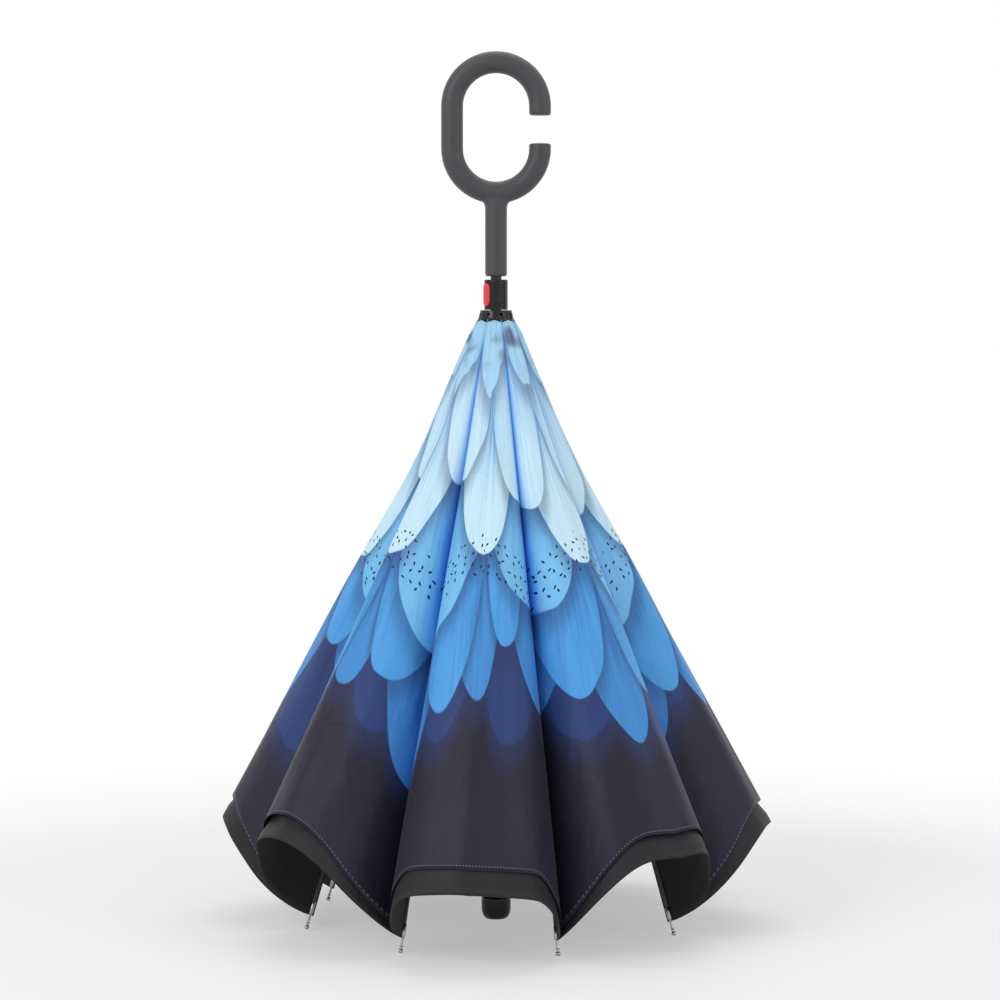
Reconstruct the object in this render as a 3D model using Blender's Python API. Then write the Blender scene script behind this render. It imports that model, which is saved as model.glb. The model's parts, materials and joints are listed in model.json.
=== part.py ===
"""An inverted umbrella, closed and standing on its rib tips, handle upwards.

Metres, +Z up. The origin is the middle of the ferrule's flat face, on the floor. The shaft is the Z axis.
The ribs hinge on the sliding runner below the handle, and the struts on the notch above the ferrule.
"""

import math

import bmesh
import bpy
from mathutils import Matrix, Vector

# Running gap between neighbouring pieces
GAP = 0.0003

# Shaft, a steel tube
SHAFT_RADIUS = 0.0050
SHAFT_WALL = 0.0008
SHAFT_BOTTOM = 0.0103
SHAFT_TOP = 0.6230
SHAFT_SIDES = 24

# Handle: a grip bent to a C on a straight stem, with its mouth towards +X
HANDLE_TUBE_RADIUS = 0.0100
HANDLE_BEND_RADIUS = 0.0400
HANDLE_LOWER_CENTRE = 0.7070
HANDLE_UPPER_CENTRE = 0.7450
HANDLE_UPPER_ARM_END = 0.7370
HANDLE_LOWER_ARM_END = 0.7115
HANDLE_STEM_BOTTOM = 0.5910
HANDLE_END_ROUND = 0.0012
HANDLE_SIDES = 14
HANDLE_BEND_STEPS = 11

# Runner: a sleeve with a release button, over a slotted crown
SLEEVE_RADIUS = 0.0107
SLEEVE_BORE_RADIUS = 0.0055
SLEEVE_LENGTH = 0.0275
SLEEVE_LIP = 0.0010
CROWN_ABOVE_HINGE = 0.0067
CROWN_HEIGHT = 0.0107
CROWN_TOP_RADIUS = 0.0145
CROWN_RADIUS = 0.0165
CROWN_RIM_HEIGHT = 0.0035
BUTTON_WIDTH = 0.0085
BUTTON_HEIGHT = 0.0215
BUTTON_DEPTH = 0.0032
BUTTON_PROUD = 0.0006
BUTTON_FRONT_ANGLE = math.radians(-57)
GROOVE_COUNT = 9
GROOVE_WIDTH = 0.0009
GROOVE_DEPTH = 0.0006
GROOVE_SPAN = 0.0060
GROOVES_FROM_BUTTON = math.radians(90)

# Ribs: each hinges on the crown's wire, and its tip's ball stands on the floor
RIB_COUNT = 8
RIB_FRONT_ANGLE = math.radians(17.5)
HINGE_RADIUS = 0.0125
RIB_HINGE_Z = 0.5535
RIB_RADIUS = 0.0017
RIB_SIDES = 8
TIP_STANCE_RADIUS = 0.1800
TIP_BALL_RADIUS = 0.0022
TIP_BALL_RING_DEGREES = (145, 110, 75, 40)
TIP_LENGTH = 0.0240
TIP_SOCKET_RADIUS = 0.0021
TIP_SHANK_RADIUS = 0.0012
TIP_SOCKET_LENGTH = 0.0110
SPIGOT_RADIUS = 0.0011
SPIGOT_LENGTH = 0.0060
EYE_RADIUS = 0.0024
EYE_WIDTH = 0.0018
EYE_HOLE_RADIUS = 0.0011
NECK_LENGTH = 0.0070
WIRE_RADIUS = 0.0006
WIRE_STEPS = 32
SLOT_SIDE_CLEARANCE = 0.0004
SLOT_ROOT_CLEARANCE = 0.0005
SLOT_END_WALL = 0.0027
WIRE_GROOVE_RADIUS = 0.0010
CLAMP_RADIUS = 0.0025
CLAMP_LENGTH = 0.0120

# Struts: flat bars from the top notch to the ribs, each beside its rib
NOTCH_HINGE_Z = 0.0450
NOTCH_BOTTOM = 0.0245
NOTCH_CROWN_BOTTOM = 0.0385
NOTCH_TOP = 0.0495
NOTCH_RADIUS = 0.0150
NOTCH_HUB_RADIUS = 0.0085
NOTCH_FLOOR_WALL = 0.0030
STRUT_JOINT_DISTANCE = 0.2400
STRUT_WIDTH = 0.0020
STRUT_HEIGHT = 0.0035
STRUT_NOTCH_EYE_RADIUS = 0.0028
STRUT_NOTCH_HOLE_RADIUS = 0.0013
STRUT_RIB_EYE_RADIUS = 0.0023
STRUT_EYE_SIDES = 12
RIVET_HEAD_RADIUS = 0.0018
RIVET_HEAD_HEIGHT = 0.0008

# Ferrule and the catch inside the shaft
FERRULE_FACE_RADIUS = 0.0080
FERRULE_RADIUS = 0.0135
FERRULE_HEIGHT = 0.0215
FERRULE_BORE_FLOOR = 0.0100
FERRULE_EDGE = 0.0025
FERRULE_ROUND_STEPS = 4
CATCH_LENGTH = 0.0420
CATCH_WIDTH = 0.0022
CATCH_THICKNESS = 0.0008
CATCH_MIDDLE_Z = 0.1700

# Cloth: an inner canopy outside the ribs, and an outer canopy between ribs and struts
CLOTH_THICKNESS = 0.0010
CLOTH_SEAM_GAP = 0.0005
INNER_OVER_RIB = 0.0034
OUTER_UNDER_RIB = 0.0026
OUTER_OVER_STRUT = 0.0028
CANOPY_BELOW_CROWN = 0.0009
CANOPY_TOP_CREST_RADIUS = 0.0188
INNER_HEM_CREST_Z = 0.0960
INNER_HEM_FROM_TIP = 0.0320
OUTER_HEM_CREST_RADIUS = 0.2520
HEM_CRESTS_APART = 0.0070
OUTER_HEM_CREST_Z = 0.0780
OUTER_HEM_FROM_TIP = 0.0245
OUTER_UNDER_INNER = 0.0035
RIB_CREASE_HALF = 0.0032
STRUT_CREASE_HALF = 0.0058
FOLD_DROP = 0.0300
FOLD_RISE = 0.0080
FOLD_SHARPNESS = 0.68
STRUT_BULGE_SHARE = 0.35
CREASE_LIMIT_SHARE = 0.30
CREST_DIP = 0.0080

INNER_ROW_SHARES = (0.0, 0.06, 0.18, 0.34, 0.5, 0.66, 0.83, 1.0)
OUTER_RIB_ROW_SHARES = (0.0, 0.3, 0.65, 1.0)
OUTER_STRUT_ROW_SHARES = (0.15, 0.55, 1.0)
COLUMN_SHARES = (0.4, 0.7, 1.0)

COLOURS = {
    "grip_rubber": ((0.055, 0.052, 0.060), 0.55, 0.0),
    "black_plastic": ((0.020, 0.020, 0.022), 0.30, 0.0),
    "red_plastic": ((0.700, 0.040, 0.050), 0.30, 0.0),
    "steel": ((0.550, 0.550, 0.560), 0.30, 1.0),
    "black_steel": ((0.040, 0.040, 0.045), 0.40, 0.8),
    "glass_fibre": ((0.030, 0.030, 0.034), 0.40, 0.0),
    "printed_cloth": ((0.180, 0.450, 0.780), 0.65, 0.0),
    "black_cloth": ((0.035, 0.033, 0.040), 0.65, 0.0),
}

# Places worked out from the sizes above
CROWN_TOP = RIB_HINGE_Z + CROWN_ABOVE_HINGE
CANOPY_TOP_Z = CROWN_TOP - CROWN_HEIGHT - CANOPY_BELOW_CROWN
INNER_HEM_CREST_RADIUS = OUTER_HEM_CREST_RADIUS - HEM_CRESTS_APART
RIB_LENGTH = math.hypot(RIB_HINGE_Z - TIP_BALL_RADIUS, TIP_STANCE_RADIUS - HINGE_RADIUS)
RIB_ANGLE = math.atan2(TIP_STANCE_RADIUS - HINGE_RADIUS, RIB_HINGE_Z - TIP_BALL_RADIUS)
STRUT_OFFSET = CLAMP_RADIUS + GAP + STRUT_WIDTH / 2
SECTOR_HALF = math.pi / RIB_COUNT


def rib_point(along, out=0.0):
    """Radius and height of a point beside a rib: along it from the hinge, and out from it."""
    radius = HINGE_RADIUS + along * math.sin(RIB_ANGLE) + out * math.cos(RIB_ANGLE)
    height = RIB_HINGE_Z - along * math.cos(RIB_ANGLE) + out * math.sin(RIB_ANGLE)
    return radius, height


JOINT_RADIUS, JOINT_Z = rib_point(STRUT_JOINT_DISTANCE)
STRUT_LENGTH = math.hypot(JOINT_RADIUS - HINGE_RADIUS, JOINT_Z - NOTCH_HINGE_Z)
STRUT_ANGLE = math.atan2(JOINT_RADIUS - HINGE_RADIUS, JOINT_Z - NOTCH_HINGE_Z)
NOTCH_WIRE_RADIUS = math.hypot(HINGE_RADIUS, STRUT_OFFSET)


def strut_point(along, out=0.0):
    """Radius and height of a point beside a strut: along it from the notch, and out from it."""
    radius = HINGE_RADIUS + along * math.sin(STRUT_ANGLE) + out * math.cos(STRUT_ANGLE)
    height = NOTCH_HINGE_Z + along * math.cos(STRUT_ANGLE) - out * math.sin(STRUT_ANGLE)
    return radius, height


def clear_scene():
    for obj in list(bpy.data.objects):
        bpy.data.objects.remove(obj, do_unlink=True)


def material(name):
    found = bpy.data.materials.get(name)
    if found:
        return found
    colour, roughness, metallic = COLOURS[name]
    made = bpy.data.materials.new(name)
    made.use_nodes = True
    shader = made.node_tree.nodes["Principled BSDF"]
    shader.inputs["Base Color"].default_value = (*colour, 1.0)
    shader.inputs["Roughness"].default_value = roughness
    shader.inputs["Metallic"].default_value = metallic
    made.diffuse_color = (*colour, 1.0)
    return made


def place(name, mesh, material_name=None, smooth_angle=math.radians(35)):
    """An object for a mesh, shaded smooth with its sharp edges kept."""
    obj = bpy.data.objects.new(name, mesh)
    bpy.context.scene.collection.objects.link(obj)
    if material_name:
        if not mesh.materials:
            mesh.materials.append(material(material_name))
        mesh.shade_smooth()
        mesh.set_sharp_from_angle(angle=smooth_angle)
    return obj


def mesh_from_rings(name, rings, closed=False):
    """A mesh through rings of points: capped at both ends, or joined last to first when closed."""
    bm = bmesh.new()
    loops = [[bm.verts.new(point) for point in ring] for ring in rings]
    pairs = list(zip(loops, loops[1:]))
    if closed:
        pairs.append((loops[-1], loops[0]))
    for first, second in pairs:
        count = len(first)
        for i in range(count):
            j = (i + 1) % count
            bm.faces.new((first[i], first[j], second[j], second[i]))
    if not closed:
        bm.faces.new(loops[0])
        bm.faces.new(loops[-1])
    bmesh.ops.recalc_face_normals(bm, faces=bm.faces)
    mesh = bpy.data.meshes.new(name)
    bm.to_mesh(mesh)
    bm.free()
    return mesh


def circle(radius, height, sides, turn=0.0):
    angles = [turn + 2 * math.pi * i / sides for i in range(sides)]
    return [Vector((radius * math.cos(a), radius * math.sin(a), height)) for a in angles]


def turned(name, profile, sides, closed=False):
    """A profile of radius and height pairs, turned about the Z axis."""
    return mesh_from_rings(name, [circle(r, z, sides) for r, z in profile], closed)


def tube_along(name, points, radius, sides, end_round=0.0):
    """A solid round bar along points in the XZ plane, its two ends eased."""
    rings = []
    last = len(points) - 1
    for i, point in enumerate(points):
        ahead = points[min(i + 1, last)]
        behind = points[max(i - 1, 0)]
        along = (ahead - behind).normalized()
        side = Vector((0, 1, 0))
        across = side.cross(along).normalized()
        size = radius - end_round if i in (0, last) else radius
        ring = [
            point + across * size * math.cos(2 * math.pi * k / sides)
            + side * size * math.sin(2 * math.pi * k / sides)
            for k in range(sides)
        ]
        rings.append(ring)
    return mesh_from_rings(name, rings)


def block(name, low, high):
    """A box between two corners."""
    x0, y0, z0 = low
    x1, y1, z1 = high
    rings = [[(x0, y0, z), (x1, y0, z), (x1, y1, z), (x0, y1, z)] for z in (z0, z1)]
    return mesh_from_rings(name, [[Vector(p) for p in ring] for ring in rings])


def pin_across(name, x, z, radius, y_low, y_high, sides):
    """A round pin along Y, its middle line at x and z."""
    def ring(y):
        turns = [2 * math.pi * (i + 0.5) / sides for i in range(sides)]
        return [Vector((x + radius * math.cos(a), y, z + radius * math.sin(a))) for a in turns]

    return mesh_from_rings(name, [ring(y_low), ring(y_high)])


def ring_wire(name, ring_radius, height, radius, steps, sides):
    """A round wire bent to a closed ring about the Z axis."""
    rings = []
    for i in range(steps):
        turn = 2 * math.pi * i / steps
        ring = []
        for k in range(sides):
            around = 2 * math.pi * k / sides
            reach = ring_radius + radius * math.cos(around)
            z = height + radius * math.sin(around)
            ring.append(Vector((reach * math.cos(turn), reach * math.sin(turn), z)))
        rings.append(ring)
    return mesh_from_rings(name, rings, closed=True)


def combined(name, base, added=(), removed=()):
    """One mesh from a base mesh, with meshes joined on and meshes cut away."""
    body = place(name + "_base", base)
    helpers = []
    for operation, meshes in (("UNION", added), ("DIFFERENCE", removed)):
        for mesh in meshes:
            tool = place(name + "_tool", mesh)
            tool.hide_render = True
            tool.display_type = "WIRE"
            modifier = body.modifiers.new(operation.lower(), "BOOLEAN")
            modifier.operation = operation
            modifier.solver = "EXACT"
            modifier.object = tool
            helpers.append(tool)
    bpy.context.view_layer.update()
    graph = bpy.context.evaluated_depsgraph_get()
    result = bpy.data.meshes.new_from_object(body.evaluated_get(graph))
    result.name = name
    for obj in [body] + helpers:
        bpy.data.objects.remove(obj, do_unlink=True)
    return result


def sector_angle(index):
    """World angle of a rib's plane. The front is -Y, and the angle from it grows towards +X."""
    return RIB_FRONT_ANGLE - math.pi / 2 + 2 * math.pi * index / RIB_COUNT


def turned_by(mesh, angle):
    """A copy of a mesh, turned about the Z axis."""
    copy = mesh.copy()
    copy.transform(Matrix.Rotation(angle, 4, "Z"))
    return copy


def make_shaft():
    inner = SHAFT_RADIUS - SHAFT_WALL
    profile = [(SHAFT_RADIUS, SHAFT_TOP), (SHAFT_RADIUS, SHAFT_BOTTOM)]
    profile += [(inner, SHAFT_BOTTOM), (inner, SHAFT_TOP)]
    place("shaft_tube", turned("shaft_tube", profile, SHAFT_SIDES, closed=True), "black_steel")


def handle_points():
    """The C's middle line, from the end of the upper arm round to the end of the lower arm."""
    bend = HANDLE_BEND_RADIUS
    points = [(bend, HANDLE_UPPER_ARM_END), (bend, HANDLE_UPPER_ARM_END + HANDLE_END_ROUND)]
    for centre, start in ((HANDLE_UPPER_CENTRE, 0.0), (HANDLE_LOWER_CENTRE, math.pi)):
        for i in range(HANDLE_BEND_STEPS + 1):
            a = start + math.pi * i / HANDLE_BEND_STEPS
            points.append((bend * math.cos(a), centre + bend * math.sin(a)))
    points += [(bend, HANDLE_LOWER_ARM_END - HANDLE_END_ROUND), (bend, HANDLE_LOWER_ARM_END)]
    return [Vector((x, 0, z)) for x, z in points]


def make_handle():
    grip = tube_along("grip", handle_points(), HANDLE_TUBE_RADIUS, HANDLE_SIDES, HANDLE_END_ROUND)
    stem_top = HANDLE_LOWER_CENTRE - HANDLE_BEND_RADIUS
    eased = HANDLE_TUBE_RADIUS - HANDLE_END_ROUND
    outline = [(eased, HANDLE_STEM_BOTTOM), (HANDLE_TUBE_RADIUS, HANDLE_STEM_BOTTOM + HANDLE_END_ROUND)]
    outline.append((HANDLE_TUBE_RADIUS, stem_top))
    stem = turned("stem", outline, SHAFT_SIDES)
    bore_low = HANDLE_STEM_BOTTOM - HANDLE_TUBE_RADIUS
    bore_radius = SHAFT_RADIUS + GAP
    bore = turned("bore", [(bore_radius, bore_low), (bore_radius, SHAFT_TOP + GAP)], SHAFT_SIDES)
    place("handle", combined("handle", grip, [stem], [bore]), "grip_rubber")


def crown_slots(low, high, root, reach, width, offset):
    """One cutter for each rib plane: a slot from its root out past the rim."""
    slot = block("slot", (root, offset - width / 2, low), (reach, offset + width / 2, high))
    return [turned_by(slot, sector_angle(i)) for i in range(RIB_COUNT)]


def make_runner_crown():
    bottom = CROWN_TOP - CROWN_HEIGHT
    rim = bottom + CROWN_RIM_HEIGHT
    profile = [(CROWN_TOP_RADIUS, CROWN_TOP), (CROWN_RADIUS, rim), (CROWN_RADIUS, bottom)]
    profile += [(SLEEVE_BORE_RADIUS, bottom), (SLEEVE_BORE_RADIUS, CROWN_TOP)]
    ring = turned("crown", profile, SHAFT_SIDES, closed=True)
    root = HINGE_RADIUS - EYE_RADIUS - SLOT_ROOT_CLEARANCE
    width = EYE_WIDTH + 2 * SLOT_SIDE_CLEARANCE
    overrun = CROWN_RADIUS + CROWN_HEIGHT
    slots = crown_slots(bottom - CROWN_HEIGHT, CROWN_TOP - SLOT_END_WALL, root, overrun, width, 0.0)
    groove = ring_wire("groove", HINGE_RADIUS, RIB_HINGE_Z, WIRE_GROOVE_RADIUS, WIRE_STEPS, RIB_SIDES)
    place("runner_crown", combined("runner_crown", ring, (), slots + [groove]), "black_plastic")
    wire = ring_wire("crown_wire", HINGE_RADIUS, RIB_HINGE_Z, WIRE_RADIUS, WIRE_STEPS, RIB_SIDES)
    place("crown_wire", wire, "steel")


def button_block(name, grow):
    """The release button's body, or the window that it slides in when grown."""
    corner = BUTTON_WIDTH / 2 + grow
    tall = BUTTON_HEIGHT / 2 + grow
    middle = CROWN_TOP + GAP + SLEEVE_LENGTH / 2
    outer = SLEEVE_RADIUS + BUTTON_PROUD
    inner = outer - BUTTON_DEPTH
    if grow:
        outer += BUTTON_DEPTH
        inner -= BUTTON_DEPTH
    outline = []
    for centre, start in ((tall - corner, 0.0), (corner - tall, math.pi)):
        for i in range(RIB_SIDES + 1):
            a = start + math.pi * i / RIB_SIDES
            outline.append((corner * math.cos(a), middle + centre + corner * math.sin(a)))
    rings = [[Vector((x, y, z)) for y, z in outline] for x in (inner, outer)]
    return mesh_from_rings(name, rings)


def make_runner_sleeve():
    bottom = CROWN_TOP + GAP
    top = bottom + SLEEVE_LENGTH
    eased = SLEEVE_RADIUS - SLEEVE_LIP
    profile = [(eased, top), (SLEEVE_RADIUS, top - SLEEVE_LIP), (SLEEVE_RADIUS, bottom)]
    profile += [(SLEEVE_BORE_RADIUS, bottom), (SLEEVE_BORE_RADIUS, top)]
    sleeve = turned("sleeve", profile, SHAFT_SIDES, closed=True)
    cuts = [turned_by(button_block("window", GAP), BUTTON_FRONT_ANGLE - math.pi / 2)]
    groove_angle = BUTTON_FRONT_ANGLE + GROOVES_FROM_BUTTON - math.pi / 2
    pitch = SLEEVE_LENGTH / (GROOVE_COUNT + 1)
    for i in range(GROOVE_COUNT):
        middle = bottom + pitch * (i + 1)
        low = (SLEEVE_RADIUS - GROOVE_DEPTH, -GROOVE_SPAN / 2, middle - GROOVE_WIDTH / 2)
        high = (SLEEVE_RADIUS + GROOVE_DEPTH, GROOVE_SPAN / 2, middle + GROOVE_WIDTH / 2)
        for side in (0, math.pi):
            cuts.append(turned_by(block("groove", low, high), groove_angle + side))
    place("runner_sleeve", combined("runner_sleeve", sleeve, (), cuts), "black_plastic")


def make_button():
    mesh = turned_by(button_block("release_button", 0.0), BUTTON_FRONT_ANGLE - math.pi / 2)
    place("release_button", mesh, "red_plastic")


def make_top_notch():
    profile = [(NOTCH_RADIUS, NOTCH_TOP), (NOTCH_RADIUS, NOTCH_CROWN_BOTTOM)]
    profile += [(NOTCH_HUB_RADIUS, NOTCH_CROWN_BOTTOM), (NOTCH_HUB_RADIUS, NOTCH_BOTTOM)]
    bore_radius = SHAFT_RADIUS + GAP
    profile += [(bore_radius, NOTCH_BOTTOM), (bore_radius, NOTCH_TOP)]
    ring = turned("notch", profile, SHAFT_SIDES, closed=True)
    root = HINGE_RADIUS - STRUT_NOTCH_EYE_RADIUS - SLOT_ROOT_CLEARANCE
    width = STRUT_WIDTH + 2 * SLOT_SIDE_CLEARANCE
    low = NOTCH_CROWN_BOTTOM + NOTCH_FLOOR_WALL
    slots = crown_slots(low, NOTCH_TOP + NOTCH_RADIUS, root, 2 * NOTCH_RADIUS, width, STRUT_OFFSET)
    groove = ring_wire("groove", NOTCH_WIRE_RADIUS, NOTCH_HINGE_Z, WIRE_GROOVE_RADIUS, WIRE_STEPS, RIB_SIDES)
    place("top_notch", combined("top_notch", ring, (), slots + [groove]), "black_plastic")
    wire = ring_wire("notch_wire", NOTCH_WIRE_RADIUS, NOTCH_HINGE_Z, WIRE_RADIUS, WIRE_STEPS, RIB_SIDES)
    place("notch_wire", wire, "steel")


def make_ferrule():
    bore_radius = SHAFT_RADIUS + GAP
    profile = [(bore_radius, FERRULE_BORE_FLOOR), (bore_radius, FERRULE_HEIGHT)]
    profile += [(FERRULE_RADIUS - FERRULE_EDGE, FERRULE_HEIGHT)]
    profile += [(FERRULE_RADIUS, FERRULE_HEIGHT - FERRULE_EDGE)]
    for i in range(FERRULE_ROUND_STEPS + 1):
        a = math.pi / 2 * i / FERRULE_ROUND_STEPS
        radius = FERRULE_FACE_RADIUS + (FERRULE_RADIUS - FERRULE_FACE_RADIUS) * math.cos(a)
        profile.append((radius, FERRULE_BORE_FLOOR * (1 - math.sin(a))))
    place("ferrule", turned("ferrule", profile, SHAFT_SIDES), "black_plastic")


def make_catch():
    half = CATCH_LENGTH / 2
    low = (SHAFT_RADIUS - SHAFT_WALL - GAP - CATCH_THICKNESS, -CATCH_WIDTH / 2, CATCH_MIDDLE_Z - half)
    high = (low[0] + CATCH_THICKNESS / 2, CATCH_WIDTH / 2, CATCH_MIDDLE_Z + half)
    place("latch_spring", block("latch_spring", low, high), "steel")


def along_rib(rings):
    """Rings given as radius and distance along the rib, as points in the rib's own frame."""
    down = Vector((math.sin(RIB_ANGLE), 0, -math.cos(RIB_ANGLE)))
    across = Vector((math.cos(RIB_ANGLE), 0, math.sin(RIB_ANGLE)))
    side = Vector((0, 1, 0))
    made = []
    for radius, distance in rings:
        turns = [2 * math.pi * (i + 0.5) / RIB_SIDES for i in range(RIB_SIDES)]
        spokes = [across * math.cos(a) + side * math.sin(a) for a in turns]
        made.append([down * distance + spoke * radius for spoke in spokes])
    return made


def rib_mesh():
    socket_start = RIB_LENGTH - TIP_LENGTH
    rod_start = NECK_LENGTH - RIB_RADIUS
    rings = [(RIB_RADIUS - GAP, rod_start), (RIB_RADIUS, rod_start + RIB_RADIUS)]
    rings += [(RIB_RADIUS, socket_start - GAP), (SPIGOT_RADIUS, socket_start - GAP)]
    rings += [(SPIGOT_RADIUS, socket_start + SPIGOT_LENGTH)]
    rod = mesh_from_rings("rod", along_rib(rings))
    half = EYE_WIDTH / 2
    eye = pin_across("eye", 0, 0, EYE_RADIUS, -half, half, 2 * RIB_SIDES)
    down = Vector((math.sin(RIB_ANGLE), 0, -math.cos(RIB_ANGLE)))
    across = Vector((math.cos(RIB_ANGLE), 0, math.sin(RIB_ANGLE))) * (RIB_RADIUS - GAP)
    rings = []
    for distance in (EYE_HOLE_RADIUS + GAP, NECK_LENGTH):
        middle = down * distance
        corners = [(-1, -1), (1, -1), (1, 1), (-1, 1)]
        rings.append([middle + across * a + Vector((0, half * b, 0)) for a, b in corners])
    neck = mesh_from_rings("neck", rings)
    hole = pin_across("hole", 0, 0, EYE_HOLE_RADIUS, -EYE_WIDTH, EYE_WIDTH, RIB_SIDES)
    return combined("rib", eye, [neck, rod], [hole])


def tip_mesh():
    start = RIB_LENGTH - TIP_LENGTH
    bore = SPIGOT_RADIUS + GAP
    rings = [(bore, start + SPIGOT_LENGTH + GAP), (bore, start), (TIP_SOCKET_RADIUS, start)]
    rings += [(TIP_SOCKET_RADIUS, start + TIP_SOCKET_LENGTH)]
    rings += [(TIP_SHANK_RADIUS, start + TIP_SOCKET_LENGTH + TIP_SOCKET_RADIUS)]
    for degrees in TIP_BALL_RING_DEGREES:
        a = math.radians(degrees)
        rings.append((TIP_BALL_RADIUS * math.sin(a), RIB_LENGTH + TIP_BALL_RADIUS * math.cos(a)))
    return mesh_from_rings("rib_tip", along_rib(rings))


def clamp_mesh():
    bore = RIB_RADIUS + GAP
    half = CLAMP_LENGTH / 2
    low = STRUT_JOINT_DISTANCE - half
    high = STRUT_JOINT_DISTANCE + half
    rings = [(CLAMP_RADIUS, low), (CLAMP_RADIUS, high), (bore, high), (bore, low)]
    return mesh_from_rings("rib_clamp", along_rib(rings), closed=True)


def strut_mesh():
    """A strut in its own frame, its notch hinge at the origin and its rib joint up along it."""
    y_low = -STRUT_WIDTH / 2
    y_high = STRUT_WIDTH / 2
    up = Vector((math.sin(STRUT_ANGLE), 0, math.cos(STRUT_ANGLE)))
    across = Vector((math.cos(STRUT_ANGLE), 0, -math.sin(STRUT_ANGLE))) * (STRUT_HEIGHT / 2)
    rings = []
    for distance in (STRUT_NOTCH_HOLE_RADIUS + GAP, STRUT_LENGTH):
        corners = [(-1, y_low), (1, y_low), (1, y_high), (-1, y_high)]
        rings.append([up * distance + across * a + Vector((0, b, 0)) for a, b in corners])
    bar = mesh_from_rings("bar", rings)
    eye = pin_across("notch_eye", 0, 0, STRUT_NOTCH_EYE_RADIUS, y_low, y_high, STRUT_EYE_SIDES)
    end = up * STRUT_LENGTH
    rib_eye = pin_across("rib_eye", end.x, end.z, STRUT_RIB_EYE_RADIUS, y_low, y_high, STRUT_EYE_SIDES)
    head_end = y_high + RIVET_HEAD_HEIGHT
    head = pin_across("head", end.x, end.z, RIVET_HEAD_RADIUS, 0, head_end, STRUT_EYE_SIDES)
    hole = pin_across("hole", 0, 0, STRUT_NOTCH_HOLE_RADIUS, 2 * y_low, 2 * y_high, RIB_SIDES)
    return combined("strut", eye, [bar, rib_eye, head], [hole])


def fold_share(share):
    """How far out the cloth lies between a rib's crease, 0, and the crest of its fold, 1."""
    return math.sin(math.pi / 2 * share) ** FOLD_SHARPNESS


def cloth_row(valley, crest, crease_half):
    """One row of cloth points across a panel, from one seam over the rib to the other seam."""
    valley_radius, valley_z = valley
    crest_radius, crest_z = crest
    crease = min(CREASE_LIMIT_SHARE, crease_half / (valley_radius * SECTOR_HALF))
    half_row = [Vector((valley_radius, crease * SECTOR_HALF * valley_radius, valley_z))]
    for column in COLUMN_SHARES:
        out = fold_share((column - crease) / (1 - crease))
        radius = valley_radius + (crest_radius - valley_radius) * out
        angle = column * (SECTOR_HALF - CLOTH_SEAM_GAP / crest_radius)
        height = valley_z + (crest_z - valley_z) * out
        half_row.append(Vector((radius * math.cos(angle), radius * math.sin(angle), height)))
    mirrored = [Vector((p.x, -p.y, p.z)) for p in reversed(half_row)]
    return mirrored + half_row


def cloth_mesh(name, rows):
    """A sheet through rows of points, in the frame of its rib's hinge."""
    origin = Vector((HINGE_RADIUS, 0, RIB_HINGE_Z))
    bm = bmesh.new()
    grid = [[bm.verts.new(point - origin) for point in row] for row in rows]
    for upper, lower in zip(grid, grid[1:]):
        for i in range(len(upper) - 1):
            bm.faces.new((upper[i], lower[i], lower[i + 1], upper[i + 1]))
    mesh = bpy.data.meshes.new(name)
    bm.to_mesh(mesh)
    bm.free()
    return mesh


def crest_point(share):
    """The crest line of the inner canopy, from the crown to its hem, a little hollow midway."""
    radius = CANOPY_TOP_CREST_RADIUS + (INNER_HEM_CREST_RADIUS - CANOPY_TOP_CREST_RADIUS) * share
    height = CANOPY_TOP_Z + (INNER_HEM_CREST_Z - CANOPY_TOP_Z) * share
    return radius - CREST_DIP * math.sin(math.pi * share), height


def inner_panel_mesh():
    start = (RIB_HINGE_Z - CANOPY_TOP_Z + INNER_OVER_RIB * math.sin(RIB_ANGLE)) / math.cos(RIB_ANGLE)
    end = RIB_LENGTH - INNER_HEM_FROM_TIP
    rows = []
    for share in INNER_ROW_SHARES:
        valley = rib_point(start + (end - start) * share, INNER_OVER_RIB)
        rows.append(cloth_row(valley, crest_point(share), RIB_CREASE_HALF))
    return cloth_mesh("inner_panel", rows)


def outer_crest(height):
    """Crest radius of the outer canopy at a height, just inside the inner canopy's."""
    share = (CANOPY_TOP_Z - height) / (CANOPY_TOP_Z - INNER_HEM_CREST_Z)
    radius = crest_point(min(share, 1.0))[0] - OUTER_UNDER_INNER
    spare = max(share - 1.0, 0.0) * (CANOPY_TOP_Z - INNER_HEM_CREST_Z)
    whole = INNER_HEM_CREST_Z - OUTER_HEM_CREST_Z
    return radius + (OUTER_HEM_CREST_RADIUS - INNER_HEM_CREST_RADIUS + OUTER_UNDER_INNER) * spare / whole


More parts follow.
